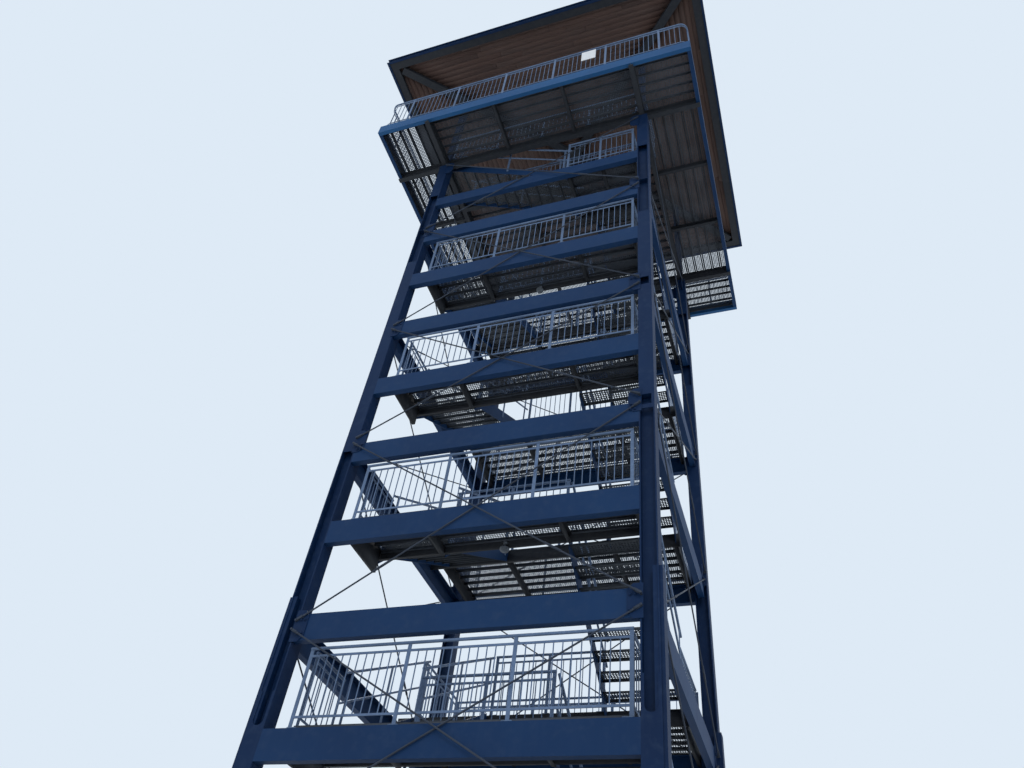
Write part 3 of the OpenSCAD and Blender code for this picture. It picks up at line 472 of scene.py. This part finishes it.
def zinc(name, group, colour, crystal_scale, roughness, metallic):
    """Zinc on steel. A higher scale makes smaller crystals."""
    values = {"Colour": colour, "Crystal scale": crystal_scale, "Roughness": roughness}
    material, node = start_material(name, group, values, metallic, bump=0.15, bump_distance=0.001)
    object_coordinates(material, node)
    return material


def timber(name, group, colour, dark):
    """Stained timber that reads the boards' own map, along and across, and their own tone."""
    values = {"Colour": colour, "Dark colour": dark}
    material, node = start_material(name, group, values, metallic=0.0, bump=0.4, bump_distance=0.003)
    tree = material.node_tree
    along = tree.nodes.new("ShaderNodeUVMap")
    along.uv_map = "board"
    tone = tree.nodes.new("ShaderNodeAttribute")
    tone.attribute_name = "tone"
    tree.links.new(along.outputs["UV"], node.inputs["Vector"])
    tree.links.new(tone.outputs["Fac"], node.inputs["Tone"])
    return material


def make_materials():
    """The material of each slot, and those of pieces that differ from their slot's."""
    weather = weather_group()
    crystals = zinc_group()
    grain = timber_group()
    dust = linear(58, 74, 98)
    return {
        "navy_paint": paint("navy paint", weather, linear(4, 37, 74), dust, streaks=0.10, roughness=0.62),
        "blue_paint": paint("blue paint", weather, linear(14, 50, 90), dust, streaks=0.10, roughness=0.6),
        # Lighter copy of the blue paint for the deck's front and back edges: painted light on members whose
        # real paint is the beams' blue
        "lit_edge_paint": paint(
            "deck edge paint painted light", weather, linear(32, 82, 130), dust, streaks=0.10, roughness=0.6
        ),
        # Dark grey paint under the floors: partly the landings' own greyer steel, partly painted shade, the
        # blue paint of members such as the deck beams as it looks in shade
        "dark_steel": paint(
            "dark paint with painted shade", weather, linear(43, 47, 54), linear(74, 75, 76), streaks=0.22, roughness=0.6
        ),
        "sheet_roof": paint("roof sheet", weather, linear(84, 88, 92), dust, streaks=0.2, roughness=0.5),
        "white_board": paint(
            "board white", weather, linear(222, 226, 230), linear(170, 172, 172), streaks=0.25, roughness=0.45
        ),
        "galvanised": zinc(
            "galvanised", crystals, linear(96, 118, 150), crystal_scale=30.0, roughness=0.55, metallic=0.35
        ),
        "timber": timber("stained boards", grain, linear(76, 55, 49), linear(54, 42, 41)),
        "bolt": zinc(
            "bolt zinc", crystals, linear(104, 112, 122), crystal_scale=90.0, roughness=0.45, metallic=0.4
        ),
        "rod": zinc(
            "rod zinc", crystals, linear(50, 60, 76), crystal_scale=60.0, roughness=0.6, metallic=0.3
        ),
        "plank": zinc(
            "plank zinc", crystals, linear(66, 73, 84), crystal_scale=24.0, roughness=0.65, metallic=0.2
        ),
        "tread": zinc(
            "tread zinc", crystals, linear(70, 77, 86), crystal_scale=24.0, roughness=0.65, metallic=0.2
        ),
    }


def paint_frame_nodes(materials):
    """Gives each CAD node its slot's material.

    The bracing rods have their own, and the deck's front and back edges take a lighter copy of the blue
    paint, which is painted light on them.
    """
    for entry in frame["record"]["subparts"]:
        name = entry["node"]
        finish = entry["material_slot"]
        if name.endswith("bracing"):
            finish = "rod"
        # The deck's front and back edges get the lighter copy of the blue paint, which is painted light
        elif name == "deck_edge_front_and_back":
            finish = "lit_edge_paint"
        node = frame["nodes"][name]
        node.data.materials.clear()
        node.data.materials.append(materials[finish])


# Meshes from arrays

def fill_mesh(name, points, face_groups, material, replaced=()):
    """A piece from one array of points and several arrays of faces, each with its own number of corners."""
    mesh = bpy.data.meshes.new(name)
    points = np.asarray(points, dtype=float).reshape(-1, 3)
    faces = [np.asarray(f, dtype=np.int32) for f in face_groups if len(f)]
    corners = np.concatenate([f.ravel() for f in faces])
    sizes = np.concatenate([np.full(len(f), f.shape[1]) for f in faces])
    starts = np.concatenate([[0], np.cumsum(sizes)[:-1]])
    mesh.vertices.add(len(points))
    mesh.vertices.foreach_set("co", points.ravel())
    mesh.loops.add(len(corners))
    mesh.loops.foreach_set("vertex_index", corners)
    mesh.polygons.add(len(sizes))
    mesh.polygons.foreach_set("loop_start", starts.astype(np.int32))
    mesh.update(calc_edges=True)
    mesh.validate()
    mesh.materials.append(material)
    piece = bpy.data.objects.new(name, mesh)
    bpy.context.scene.collection.objects.link(piece)
    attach(piece, "root")
    if replaced:
        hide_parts(*replaced)
    return piece


def unit(vectors):
    """The vectors scaled to a length of one."""
    return vectors / np.linalg.norm(vectors, axis=-1, keepdims=True)


def ring(sides, radius, turn=0.0):
    """Corner points of a regular polygon about the origin."""
    angle = turn + np.arange(sides) * 2 * math.pi / sides
    return np.stack([np.cos(angle), np.sin(angle)], axis=1) * radius


def rectangle(left, right, bottom, top):
    """Corner points of an upright rectangle."""
    return np.array([[left, bottom], [right, bottom], [right, top], [left, top]])


def carry(starts, ends, profile, up=(0.0, 0.0, 1.0)):
    """Carries a closed profile straight from each start to each end.

    A ring's point is the start or the end, plus the profile's first number times the side direction,
    plus its second number times the upward direction, both square to the run. Gives points and faces.
    """
    starts = np.asarray(starts, dtype=float).reshape(-1, 3)
    ends = np.asarray(ends, dtype=float).reshape(-1, 3)
    profile = np.asarray(profile, dtype=float)
    count = len(profile)
    run = unit(ends - starts)
    up = np.broadcast_to(np.asarray(up, dtype=float), run.shape)
    side = unit(np.cross(run, up))
    top = np.cross(side, run)
    section = profile[None, :, :1] * side[:, None] + profile[None, :, 1:] * top[:, None]
    points = np.stack([starts[:, None] + section, ends[:, None] + section], axis=1)
    first = (np.arange(len(starts)) * 2 * count)[:, None]
    j = np.arange(count)
    k = (j + 1) % count
    sides = np.stack([first + k, first + j, first + count + j, first + count + k], axis=-1).reshape(-1, 4)
    return points.reshape(-1, 3), [sides, first + j, first + count + j[::-1]]


def join(parts):
    """Puts several results of carry and the like into one array of points and one list of face arrays."""
    points = []
    faces = []
    total = 0
    for some_points, some_faces in parts:
        points.append(some_points)
        faces.extend(f + total for f in some_faces if len(f))
        total += len(some_points)
    return np.concatenate(points), faces


def node_mesh(name):
    """Places of a CAD node's points with equal ones made one, and its triangles."""
    mesh = frame["nodes"][name].data
    points = np.empty(len(mesh.vertices) * 3)
    mesh.vertices.foreach_get("co", points)
    rounded = np.round(points.reshape(-1, 3) * STEPS_PER_METRE).astype(np.int64)
    keys, same = np.unique(rounded, axis=0, return_inverse=True)
    mesh.calc_loop_triangles()
    corners = np.empty(len(mesh.loop_triangles) * 3, dtype=np.int32)
    mesh.loop_triangles.foreach_get("vertices", corners)
    return keys / STEPS_PER_METRE, same.ravel()[corners].reshape(-1, 3)


def solid_labels(count, triangles):
    """One label for all points of a solid: each takes the lowest among its neighbours until none changes."""
    a = triangles.ravel()
    b = triangles[:, [1, 2, 0]].ravel()
    labels = np.arange(count)
    while True:
        low = np.minimum(labels[a], labels[b])
        new = labels.copy()
        np.minimum.at(new, a, low)
        np.minimum.at(new, b, low)
        new = new[new]
        if np.array_equal(new, labels):
            return labels
        labels = new


def islands(name):
    """The separate solids of a CAD node, each as an array of its corner points."""
    places, triangles = node_mesh(name)
    labels = solid_labels(len(places), triangles)
    return [places[labels == label] for label in np.unique(labels)]


def chosen_solids(node, chosen):
    """Points and triangles of the chosen solids of a CAD node, unchanged."""
    places, triangles = node_mesh(node)
    labels = solid_labels(len(places), triangles)
    kept = [
        label for label in np.unique(labels)
        if chosen(places[labels == label].min(axis=0), places[labels == label].max(axis=0))
    ]
    faces = triangles[np.isin(labels[triangles[:, 0]], kept)]
    used, faces = np.unique(faces, return_inverse=True)
    return places[used], [faces.reshape(-1, 3)]


def boxes_of(name):
    """Lowest and highest corners of a CAD node's separate solids."""
    solids = islands(name)
    return np.array([s.min(axis=0) for s in solids]), np.array([s.max(axis=0) for s in solids])


# Perforated floors

def perforated(low, high, along, hole_pitch, row_pitch):
    """A plank's sheet at its top face: a grid of cells with an eight-sided hole in each, and plain margins.

    A cell's corners are shared with its neighbours. The hole's corners stand at 22.5 degrees and every 45
    from there, so that each side of the cell faces two of them and each corner of the cell faces two.
    """
    across = 1 - along
    length = high[along] - low[along] - 2 * END_MARGIN
    width = high[across] - low[across] - 2 * FOLD_MARGIN
    nu = max(1, round(length / hole_pitch))
    nv = max(1, round(width / row_pitch))
    u = low[along] + END_MARGIN + np.linspace(0, length, nu + 1)
    v = low[across] + FOLD_MARGIN + np.linspace(0, width, nv + 1)
    u = np.concatenate([[low[along]], u, [high[along]]])
    v = np.concatenate([[low[across]], v, [high[across]]])
    grid_u, grid_v = np.meshgrid(u, v, indexing="ij")
    corner_index = np.arange(grid_u.size).reshape(grid_u.shape)
    mid_u = (u[1:-2] + u[2:-1]) / 2
    mid_v = (v[1:-2] + v[2:-1]) / 2
    centre_u, centre_v = np.meshgrid(mid_u, mid_v, indexing="ij")
    hole = ring(8, HOLE_RADIUS, math.radians(22.5))
    hole_u = centre_u[..., None] + hole[:, 0]
    hole_v = centre_v[..., None] + hole[:, 1]
    hole_index = grid_u.size + np.arange(hole_u.size).reshape(hole_u.shape)
    flat_u = np.concatenate([grid_u.ravel(), hole_u.ravel()])
    flat_v = np.concatenate([grid_v.ravel(), hole_v.ravel()])
    points = np.empty((len(flat_u), 3))
    points[:, along] = flat_u
    points[:, across] = flat_v
    points[:, 2] = high[2]
    inner = corner_index[1:-1, 1:-1]
    c = [inner[1:, 1:], inner[:-1, 1:], inner[:-1, :-1], inner[1:, :-1]]
    h = [hole_index[..., k] for k in range(8)]
    triangles = [np.stack([c[k], h[(2 * k + 1) % 8], h[2 * k]], axis=-1) for k in range(4)]
    quads = [np.stack([c[k], c[(k + 1) % 4], h[(2 * k + 2) % 8], h[2 * k + 1]], axis=-1) for k in range(4)]
    whole = np.ones((len(u) - 1, len(v) - 1), dtype=bool)
    whole[1:-1, 1:-1] = False
    i, j = np.nonzero(whole)
    margin = np.stack(
        [corner_index[i + di, j + dj] for di, dj in ((0, 0), (1, 0), (1, 1), (0, 1))], axis=-1
    )
    triangles = np.concatenate([t.reshape(-1, 3) for t in triangles])
    quads = np.concatenate([q.reshape(-1, 4) for q in quads] + [margin])
    if along == 1:
        triangles = triangles[:, ::-1]
        quads = quads[:, ::-1]
    return points, [triangles, quads]


def folds(low, high, along):
    """The two folded edges of a plank, as thin plates from its underside up to just under its sheet."""
    across = 1 - along
    half = FOLD_THICKNESS / 2
    plate = rectangle(-half, half, 0, high[2] - half - low[2])
    starts = np.zeros((2, 3))
    ends = np.zeros((2, 3))
    for i, place in enumerate((low[across] + half, high[across] - half)):
        starts[i, along], ends[i, along] = low[along], high[along]
        starts[i, across] = ends[i, across] = place
        starts[i, 2] = ends[i, 2] = low[2]
    return carry(starts, ends, plate)


def plain_sheet(low, high):
    """The top face of a plank too narrow for holes."""
    outline = rectangle(low[0], high[0], low[1], high[1])
    return np.column_stack([outline, np.full(4, high[2])]), [np.array([[0, 1, 2, 3]])]


def perforated_floor(name, node, chosen, pitches, material):
    """Perforated planks in place of the chosen solids of a CAD node.

    The pitches of the holes are along and across the plank.
    """
    parts = []
    for low, high in zip(*boxes_of(node)):
        if not chosen(low, high):
            continue
        size = high - low
        along = int(size[1] > size[0])
        if size[1 - along] > NARROWEST_PERFORATED:
            parts.append(perforated(low, high, along, *pitches))
        else:
            parts.append(plain_sheet(low, high))
        parts.append(folds(low, high, along))
    points, faces = join(parts)
    fill_mesh(name, points, faces, material, [node])


def lay_floors(materials):
    """Landings, deck and treads. The larger floors are made in two or three pieces."""
    leg_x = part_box("leg_front_right")[1][0]
    leg_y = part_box("leg_back_right")[1][1]
    half_z = sum(corner[2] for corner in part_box("back_landing_planks")) / 2

    def inside_legs(low, high):
        return low[0] > -leg_x and high[0] < leg_x and high[1] < leg_y and low[1] > -leg_y

    def front_to_back(low, high):
        return high[1] - low[1] > high[0] - low[0]

    def is_plank(low, high):
        return high[2] - low[2] < HIGHEST_PLANK

    plank = ((PLANK_HOLE_PITCH, PLANK_ROW_PITCH), materials["plank"])
    tread = ((TREAD_HOLE_PITCH, TREAD_HOLE_PITCH), materials["tread"])
    for name, node, chosen, kind in (
        ("front_landing_sheets", "front_landing_planks", lambda low, high: True, plank),
        ("back_landing_sheets_low", "back_landing_planks", lambda low, high: high[2] < half_z, plank),
        ("back_landing_sheets_high", "back_landing_planks", lambda low, high: high[2] >= half_z, plank),
        ("deck_sheets_inside", "deck_planks", inside_legs, plank),
        (
            "deck_sheets_sides", "deck_planks",
            lambda low, high: not inside_legs(low, high) and front_to_back(low, high), plank,
        ),
        (
            "deck_sheets_front_and_back", "deck_planks",
            lambda low, high: not inside_legs(low, high) and not front_to_back(low, high), plank,
        ),
        ("tread_sheets", "stair_treads", lambda low, high: True, tread),
        ("top_landing_sheets", "top_landing", is_plank, plank),
    ):
        perforated_floor(name, node, chosen, *kind)
    points, faces = chosen_solids("top_landing", lambda low, high: not is_plank(low, high))
    fill_mesh("top_landing_frame", points, faces, materials["dark_steel"], ["top_landing"])


# Members round the landings

def box_members(lows, highs, along):
    """Straight members of rectangular section, each from its lowest to its highest corner along one axis."""
    across = 1 - along
    parts = []
    for low, high in zip(lows, highs):
        half = (high - low)[across] / 2
        section = rectangle(-half, half, 0, high[2] - low[2])
        start, end = np.array(low), np.array(low)
        start[across] = end[across] = (low + high)[across] / 2
        end[along] = high[along]
        parts.append(carry(start, end, section))
    return parts


def landing_members(name, node, well_edge_height, left_edge_height, materials):
    """The frames of one side's landings as the photograph shows them from below.

    Each member keeps its place in plan and its top. The one towards the stair well is shallower than the CAD
    model's, and on the front landings the one on the left is deeper.
    """
    lows, highs = boxes_of(node)
    well_edge = (highs - lows)[:, 0] > SHORTEST_WELL_EDGE
    left_line = lows[~well_edge, 0].min() + ON_ONE_LINE
    left_edge = ~well_edge & (lows[:, 0] < left_line)
    lows[well_edge, 2] = highs[well_edge, 2] - well_edge_height
    lows[left_edge, 2] = highs[left_edge, 2] - left_edge_height
    parts = box_members(lows[well_edge], highs[well_edge], 0)
    parts += box_members(lows[left_edge], highs[left_edge], 1)
    parts.append(
        chosen_solids(node, lambda low, high: high[0] - low[0] < SHORTEST_WELL_EDGE and low[0] > left_line)
    )
    points, faces = join(parts)
    fill_mesh(name, points, faces, materials["dark_steel"], [node])


def landing_lamps(materials):
    """Round lamps on short stems under the well edges of the second, sixth and tenth half storeys."""
    lows, highs = boxes_of("front_landing_frames")
    edges = (highs - lows)[:, 0] > SHORTEST_WELL_EDGE
    order = np.argsort(highs[edges, 2])[0::2]
    y = lows[edges, 1][order] - LAMP_FORWARD
    under = highs[edges, 2][order] - FRONT_WELL_EDGE_HEIGHT
    top = np.stack([np.full(len(order), LAMP_X), y, under + LAMP_STEM_HIDDEN], axis=1)
    foot = top - [0, 0, LAMP_STEM_HIDDEN + LAMP_DROP]
    back = (0, 1, 0)
    bracket = rectangle(*LAMP_BRACKET)
    parts = [
        carry(top, foot, ring(8, LAMP_STEM_RADIUS), back),
        carry(top - [0, 0, LAMP_BRACKET_UNDER], top + [0, 0, LAMP_BRACKET_OVER], bracket, back),
    ]
    for start, end, share in LAMP_STEPS:
        parts.append(carry(foot - [0, 0, start], foot - [0, 0, end], ring(24, LAMP_RADIUS * share), back))
    points, faces = join(parts)
    fill_mesh("landing_lamps", points, faces, materials["bolt"])


# Fasteners

def bolts(centres, outwards, scale=1.0):
    """Hexagon heads on round washers. Each head is carried from its plate along the outward direction."""
    centres = np.asarray(centres, dtype=float).reshape(-1, 3)
    outwards = np.broadcast_to(np.asarray(outwards, dtype=float), centres.shape)
    upright = np.abs(outwards[:, 2:]) > 0.9
    up = np.where(upright, [[1.0, 0, 0]], [[0, 0, 1.0]])
    washer_top = centres + outwards * WASHER_HEIGHT * scale
    washers = carry(centres, washer_top, ring(10, WASHER_RADIUS * scale), up)
    heads = carry(washer_top, washer_top + outwards * BOLT_HEAD * scale, ring(6, BOLT_RADIUS * scale), up)
    return [washers, heads]


def gusset_bolts():
    """Four bolts through each gusset plate, where it lies over the end of a beam of its own face."""
    parts = []
    lows, highs = boxes_of("gusset_plates")
    sizes = highs - lows
    for face, axis, side in FACES:
        other = 1 - axis
        beam_lows, beam_highs = boxes_of(face + "_beams")
        pick = (sizes[:, axis] < THICKEST_PLATE) & ((lows + highs)[:, axis] * side > 0)
        low, high = lows[pick], highs[pick]
        gap = np.abs((low + high)[:, 2, None] - (beam_lows + beam_highs)[None, :, 2])
        nearest = gap.argmin(axis=1)
        bottom = np.maximum(low[:, 2], beam_lows[nearest, 2])
        top = np.minimum(high[:, 2], beam_highs[nearest, 2])
        over = top - bottom > LOWEST_OVERLAP
        out = np.zeros(3)
        out[axis] = side
        inner = np.where(np.abs(low[:, other]) < np.abs(high[:, other]), low[:, other], high[:, other])
        outer = low[:, other] + high[:, other] - inner
        for share in BOLT_SHARES_ACROSS:
            for share_up in BOLT_SHARES_UP:
                spot = np.empty((len(low), 3))
                spot[:, axis] = high[:, axis] if side > 0 else low[:, axis]
                spot[:, other] = inner + share * (outer - inner)
                spot[:, 2] = bottom + share_up * (top - bottom)
                parts.extend(bolts(spot[over], out))
    return parts


def anchors():
    """Threaded studs through the holes of the base plates, each with a washer and a nut."""
    lows, highs = boxes_of("base_plates")
    centre = (lows + highs) / 2
    corners = np.array([[sx, sy, 0] for sx in (-1, 1) for sy in (-1, 1)]) * ANCHOR_HALF_PITCH
    plan = (centre[:, None] + corners[None]).reshape(-1, 3) * [1, 1, 0]
    plate_top = plan + [0, 0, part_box("base_plates")[1][2]]
    washer_top = plate_top + [0, 0, WASHER_HEIGHT]
    nut_top = washer_top + [0, 0, ANCHOR_NUT_HEIGHT]
    stud_foot = plan + [0, 0, ANCHOR_STUD_FOOT]
    stud_top = nut_top + [0, 0, ANCHOR_STUD_OVER]
    side = (1.0, 0.0, 0.0)
    return [
        carry(plate_top, washer_top, ring(16, ANCHOR_WASHER_RADIUS), side),
        carry(washer_top, nut_top, ring(6, ANCHOR_NUT_RADIUS), side),
        carry(stud_foot, stud_top, ring(12, ANCHOR_STUD_RADIUS), side),
    ]


def place_bolts(materials):
    """The gusset plates' bolts in one piece and the base plates' anchors in another."""
    for name, parts, finish, slot in (
        ("gusset_bolts", gusset_bolts(), "navy_paint", "navy_paint"),
        ("anchor_bolts", anchors(), "bolt", "galvanised"),
    ):
        points, faces = join(parts)
        fill_mesh(name, points, faces, materials[finish])


# Bracing rods

def rod_axes(node, normal_axis):
    """Lower ends, upper ends and outward directions of the rods of one face.

    A rod's solid reaches from pin to pin, so its axis runs between opposite corners of its box, a pin's
    radius in from them. It lies as far from the gusset plates as its box is deep, less the rod's diameter.
    """
    plane_axis = 1 - normal_axis
    lows, highs, axes = [], [], []
    for solid in islands(node):
        low, high = solid.min(axis=0), solid.max(axis=0)
        middle = (low + high) / 2
        rises = np.sum((solid - middle)[:, plane_axis] * (solid - middle)[:, 2]) > 0
        a, b = low + PIN_RADIUS, high - PIN_RADIUS
        if not rises:
            a[plane_axis], b[plane_axis] = b[plane_axis], a[plane_axis]
        side = np.sign(middle[normal_axis])
        inner = low[normal_axis] if side > 0 else high[normal_axis]
        depth = high[normal_axis] - low[normal_axis] - ROD_DIAMETER
        a[normal_axis] = b[normal_axis] = inner + side * depth
        out = np.zeros(3)
        out[normal_axis] = side
        lows.append(a)
        highs.append(b)
        axes.append(out)
    return np.array(lows), np.array(highs), np.array(axes)


def rounded_strip(length, width, steps=6):
    """Outline of a flat strip with a half-round end about the origin and its straight end at +length."""
    angle = np.linspace(math.pi, 2 * math.pi, steps + 1)
    end = np.stack([np.cos(angle), np.sin(angle)], axis=1) * width / 2
    return np.concatenate([end, [[width / 2, length], [-width / 2, length]]])


def fit_rods(materials):
    """Turnbuckles with lock nuts, and forks whose two cheeks hold the pin at each end of a rod."""
    parts = []
    lock_nut = ring(6, LOCK_NUT_RADIUS, LOCK_NUT_TURN)
    cheek = rounded_strip(FORK_LENGTH, FORK_WIDTH)
    half = ROD_DIAMETER / 2
    near, far = half * FORK_INNER_SHARE, half + FORK_CHEEK * FORK_INNER_SHARE
    for face, axis, _ in FACES:
        low, high, out = rod_axes(face + "_bracing", axis)
        run = unit(high - low)
        start = low + run * TURNBUCKLE_FROM_END
        end = start + run * TURNBUCKLE_LENGTH
        parts.append(carry(start, end, ring(6, TURNBUCKLE_RADIUS), out))
        parts.append(carry(start - run * LOCK_NUT_LENGTH, start, lock_nut, out))
        parts.append(carry(end, end + run * LOCK_NUT_LENGTH, lock_nut, out))
        for place, inward in ((low, run), (high, -run)):
            parts.append(carry(place + out * half, place + out * (half + FORK_CHEEK), cheek, inward))
            parts.append(carry(place - out * far, place - out * near, cheek, inward))
            base = place + inward * FORK_LENGTH
            start, end = base - inward * FORK_SOCKET_OVERLAP, base + inward * FORK_SOCKET_LENGTH
            parts.append(carry(start, end, ring(12, FORK_SOCKET_RADIUS), out))
    points, faces = join(parts)
    fill_mesh("rod_fittings", points, faces, materials["rod"])


# Railings

def post_places(low, high, along):
    """Middles of a railing's posts at its base: the first and last at its ends, the others evenly between."""
    length = high[along] - low[along] - POST_WIDTH
    bays = max(1, math.ceil(length / POST_PITCH - ROUNDING))
    places = np.empty((bays + 1, 3))
    places[:, along] = low[along] + POST_WIDTH / 2 + np.arange(bays + 1) * length / bays
    places[:, 1 - along] = (low[1 - along] + high[1 - along]) / 2
    places[:, 2] = low[2]
    return places


def seat_posts(materials):
    """A foot plate with two bolts under each post of the landings' and the stairwell's railings."""
    plates = []
    heads = []
    half = np.array([FOOT_LENGTH, FOOT_WIDTH]) / 2
    outline = rectangle(-half[0], half[0], -half[1], half[1])
    for node in ("front_landing_railings", "back_landing_railings", "stairwell_railings"):
        for low, high in zip(*boxes_of(node)):
            along = int(high[1] - low[1] > high[0] - low[0])
            spots = post_places(low, high, along)
            spots[[0, -1], along] += np.array([1, -1]) * (half[0] - POST_WIDTH / 2)
            tops = spots + [0, 0, FOOT_THICKNESS]
            ahead = np.zeros(3)
            ahead[1 - along] = 1.0
            plates.append(carry(spots, tops, outline, ahead))
            for shift in (-1, 1):
                place = tops.copy()
                place[:, along] += shift * (half[0] - BOLT_RADIUS - FOOT_BOLT_MARGIN)
                heads.extend(bolts(place, (0, 0, 1), FOOT_BOLT_SCALE))
    points, faces = join(plates)
    fill_mesh("post_feet", points, faces, materials["galvanised"])
    points, faces = join(heads)
    fill_mesh("post_bolts", points, faces, materials["bolt"])


# Roof

def roof_sides(half):
    """Half the width, the depth to the middle and the turn from the front of each of the roof's sides."""
    for turn in range(4):
        width, depth = half if turn % 2 == 0 else half[::-1]
        angle = turn * math.pi / 2
        c, s = math.cos(angle), math.sin(angle)
        yield width, depth, np.array([[c, -s, 0], [s, c, 0], [0, 0, 1]])


def board_corners(row, near_half, far_half):
    """The x of the four corners of each board in one row, in the order round the board.

    Half the row's length is near_half at its edge nearer the eave and far_half at its other edge. A long
    row is cut into boards of even length, and its joints are shifted from those of the rows beside it.
    """
    pieces = max(1, math.ceil(2 * near_half / BOARD_LENGTH))
    shift = ((row * JOINT_STEP) % 1 - 0.5) * JOINT_SPREAD
    cuts = (np.arange(1, pieces) + shift) / pieces * 2 - 1
    cuts = cuts[np.abs(cuts) * near_half < far_half - SHORTEST_BOARD_END] * near_half
    starts = cuts + BOARD_JOINT / 2
    ends = cuts - BOARD_JOINT / 2
    return np.stack(
        [
            np.concatenate([[-near_half], starts]),
            np.concatenate([ends, [near_half]]),
            np.concatenate([ends, [far_half]]),
            np.concatenate([[-far_half], starts]),
        ],
        axis=1,
    )


def soffit_boards(materials):
    """Boards parallel to the eaves, mitred where two sides of the soffit meet.

    On each side a board's edges lie at two distances from the eave. Its underside is as high above the eave's
    as the soffit's rise times that distance over the depth of the side, and its ends follow the lines from
    the corners to the middle.
    """
    low, high = (np.array(corner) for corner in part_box("soffit_boards"))
    rise = high[2] - low[2] - BOARD_THICKNESS
    plans, lifts, maps, tones = [], [], [], []
    for width, depth, rotation in roof_sides(high[:2]):
        for row in range(int(depth / BOARD_WIDTH) + 1):
            near = row * BOARD_WIDTH
            far = min(near + BOARD_WIDTH - BOARD_JOINT, depth - BOARD_MIDDLE_GAP)
            if far <= near:
                continue
            from_eave = np.array([near, near, far, far])
            for x in board_corners(row, width * (1 - near / depth), width * (1 - far / depth)):
                plans.append(np.stack([x, from_eave - depth], axis=1) @ rotation[:2, :2].T)
                lifts.append(low[2] + rise * from_eave / depth)
                maps.append(np.stack([x, from_eave - near], axis=1) + np.array(BOARD_MAP_STEP) * len(tones))
                tones.append(len(tones) * BOARD_TONE_STEP % 1)
    under = np.concatenate([np.array(plans), np.array(lifts)[..., None]], axis=2)
    over = under + [0, 0, BOARD_DRAWN_THICKNESS]
    points = np.concatenate([under, over], axis=1).reshape(-1, 3)
    faces = (np.arange(len(tones))[:, None, None] * 8 + np.array(BOX_FACES)).reshape(-1, 4)
    piece = fill_mesh("soffit_boarding", points, [faces], materials["timber"], ["soffit_boards"])
    layer = piece.data.uv_layers.new(name="board")
    on_points = np.concatenate([maps, maps], axis=1).reshape(-1, 2)
    corners = np.empty(len(piece.data.loops), dtype=np.int32)
    piece.data.loops.foreach_get("vertex_index", corners)
    layer.data.foreach_set("uv", on_points[corners].ravel())
    tone = piece.data.attributes.new("tone", "FLOAT", "POINT")
    tone.data.foreach_set("value", np.repeat(tones, 8))


def roof_seams(materials):
    """Standing seams up each side of the roof and flat caps over its hips.

    A seam's height is the covering's top at its distance from the eave. It ends at the hip, or below the apex
    where it would stand higher than the apex does.
    """
    high = np.array(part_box("roof_covering")[1])
    edge_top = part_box("soffit_boards")[0][2] + BOARD_THICKNESS + COVERING_THICKNESS
    rise = high[2] - edge_top
    parts = []
    for width, depth, rotation in roof_sides(high[:2]):
        count = int(2 * width / SEAM_PITCH)
        x = (np.arange(count) - (count - 1) / 2) * SEAM_PITCH
        highest = 1 - (SEAM_HEIGHT + SEAM_UNDER_APEX) / rise
        share = np.minimum(1 - np.abs(x) / width, highest) - SEAM_FROM_HIP
        start = np.stack([x, np.full(count, SEAM_FROM_EAVE - depth), np.full(count, edge_top)], axis=1)
        end = np.stack([x, depth * (share - 1), edge_top + rise * share], axis=1)
        parts.append(carry(start @ rotation.T, end @ rotation.T, SEAM_SECTION))
    corner = np.array([[sx * high[0], sy * high[1], edge_top] for sx in (-1, 1) for sy in (-1, 1)])
    hip = np.array([0, 0, edge_top + rise]) - corner
    parts.append(carry(corner + hip * HIP_CAP_START, corner + hip * HIP_CAP_END, HIP_CAP_SECTION))
    points, faces = join(parts)
    fill_mesh("roof_seams", points, faces, materials["sheet_roof"])


place_camera()
bpy.context.scene.view_settings.view_transform = "Standard"
materials = make_materials()
paint_frame_nodes(materials)
light_scene()
lay_floor()
lay_floors(materials)
landing_members(
    "front_landing_members", "front_landing_frames", FRONT_WELL_EDGE_HEIGHT, FRONT_LEFT_EDGE_HEIGHT, materials
)
landing_members(
    "back_landing_members", "back_landing_frames", BACK_WELL_EDGE_HEIGHT, BACK_LEFT_EDGE_HEIGHT, materials
)
landing_lamps(materials)
place_bolts(materials)
fit_rods(materials)
seat_posts(materials)
soffit_boards(materials)
roof_seams(materials)
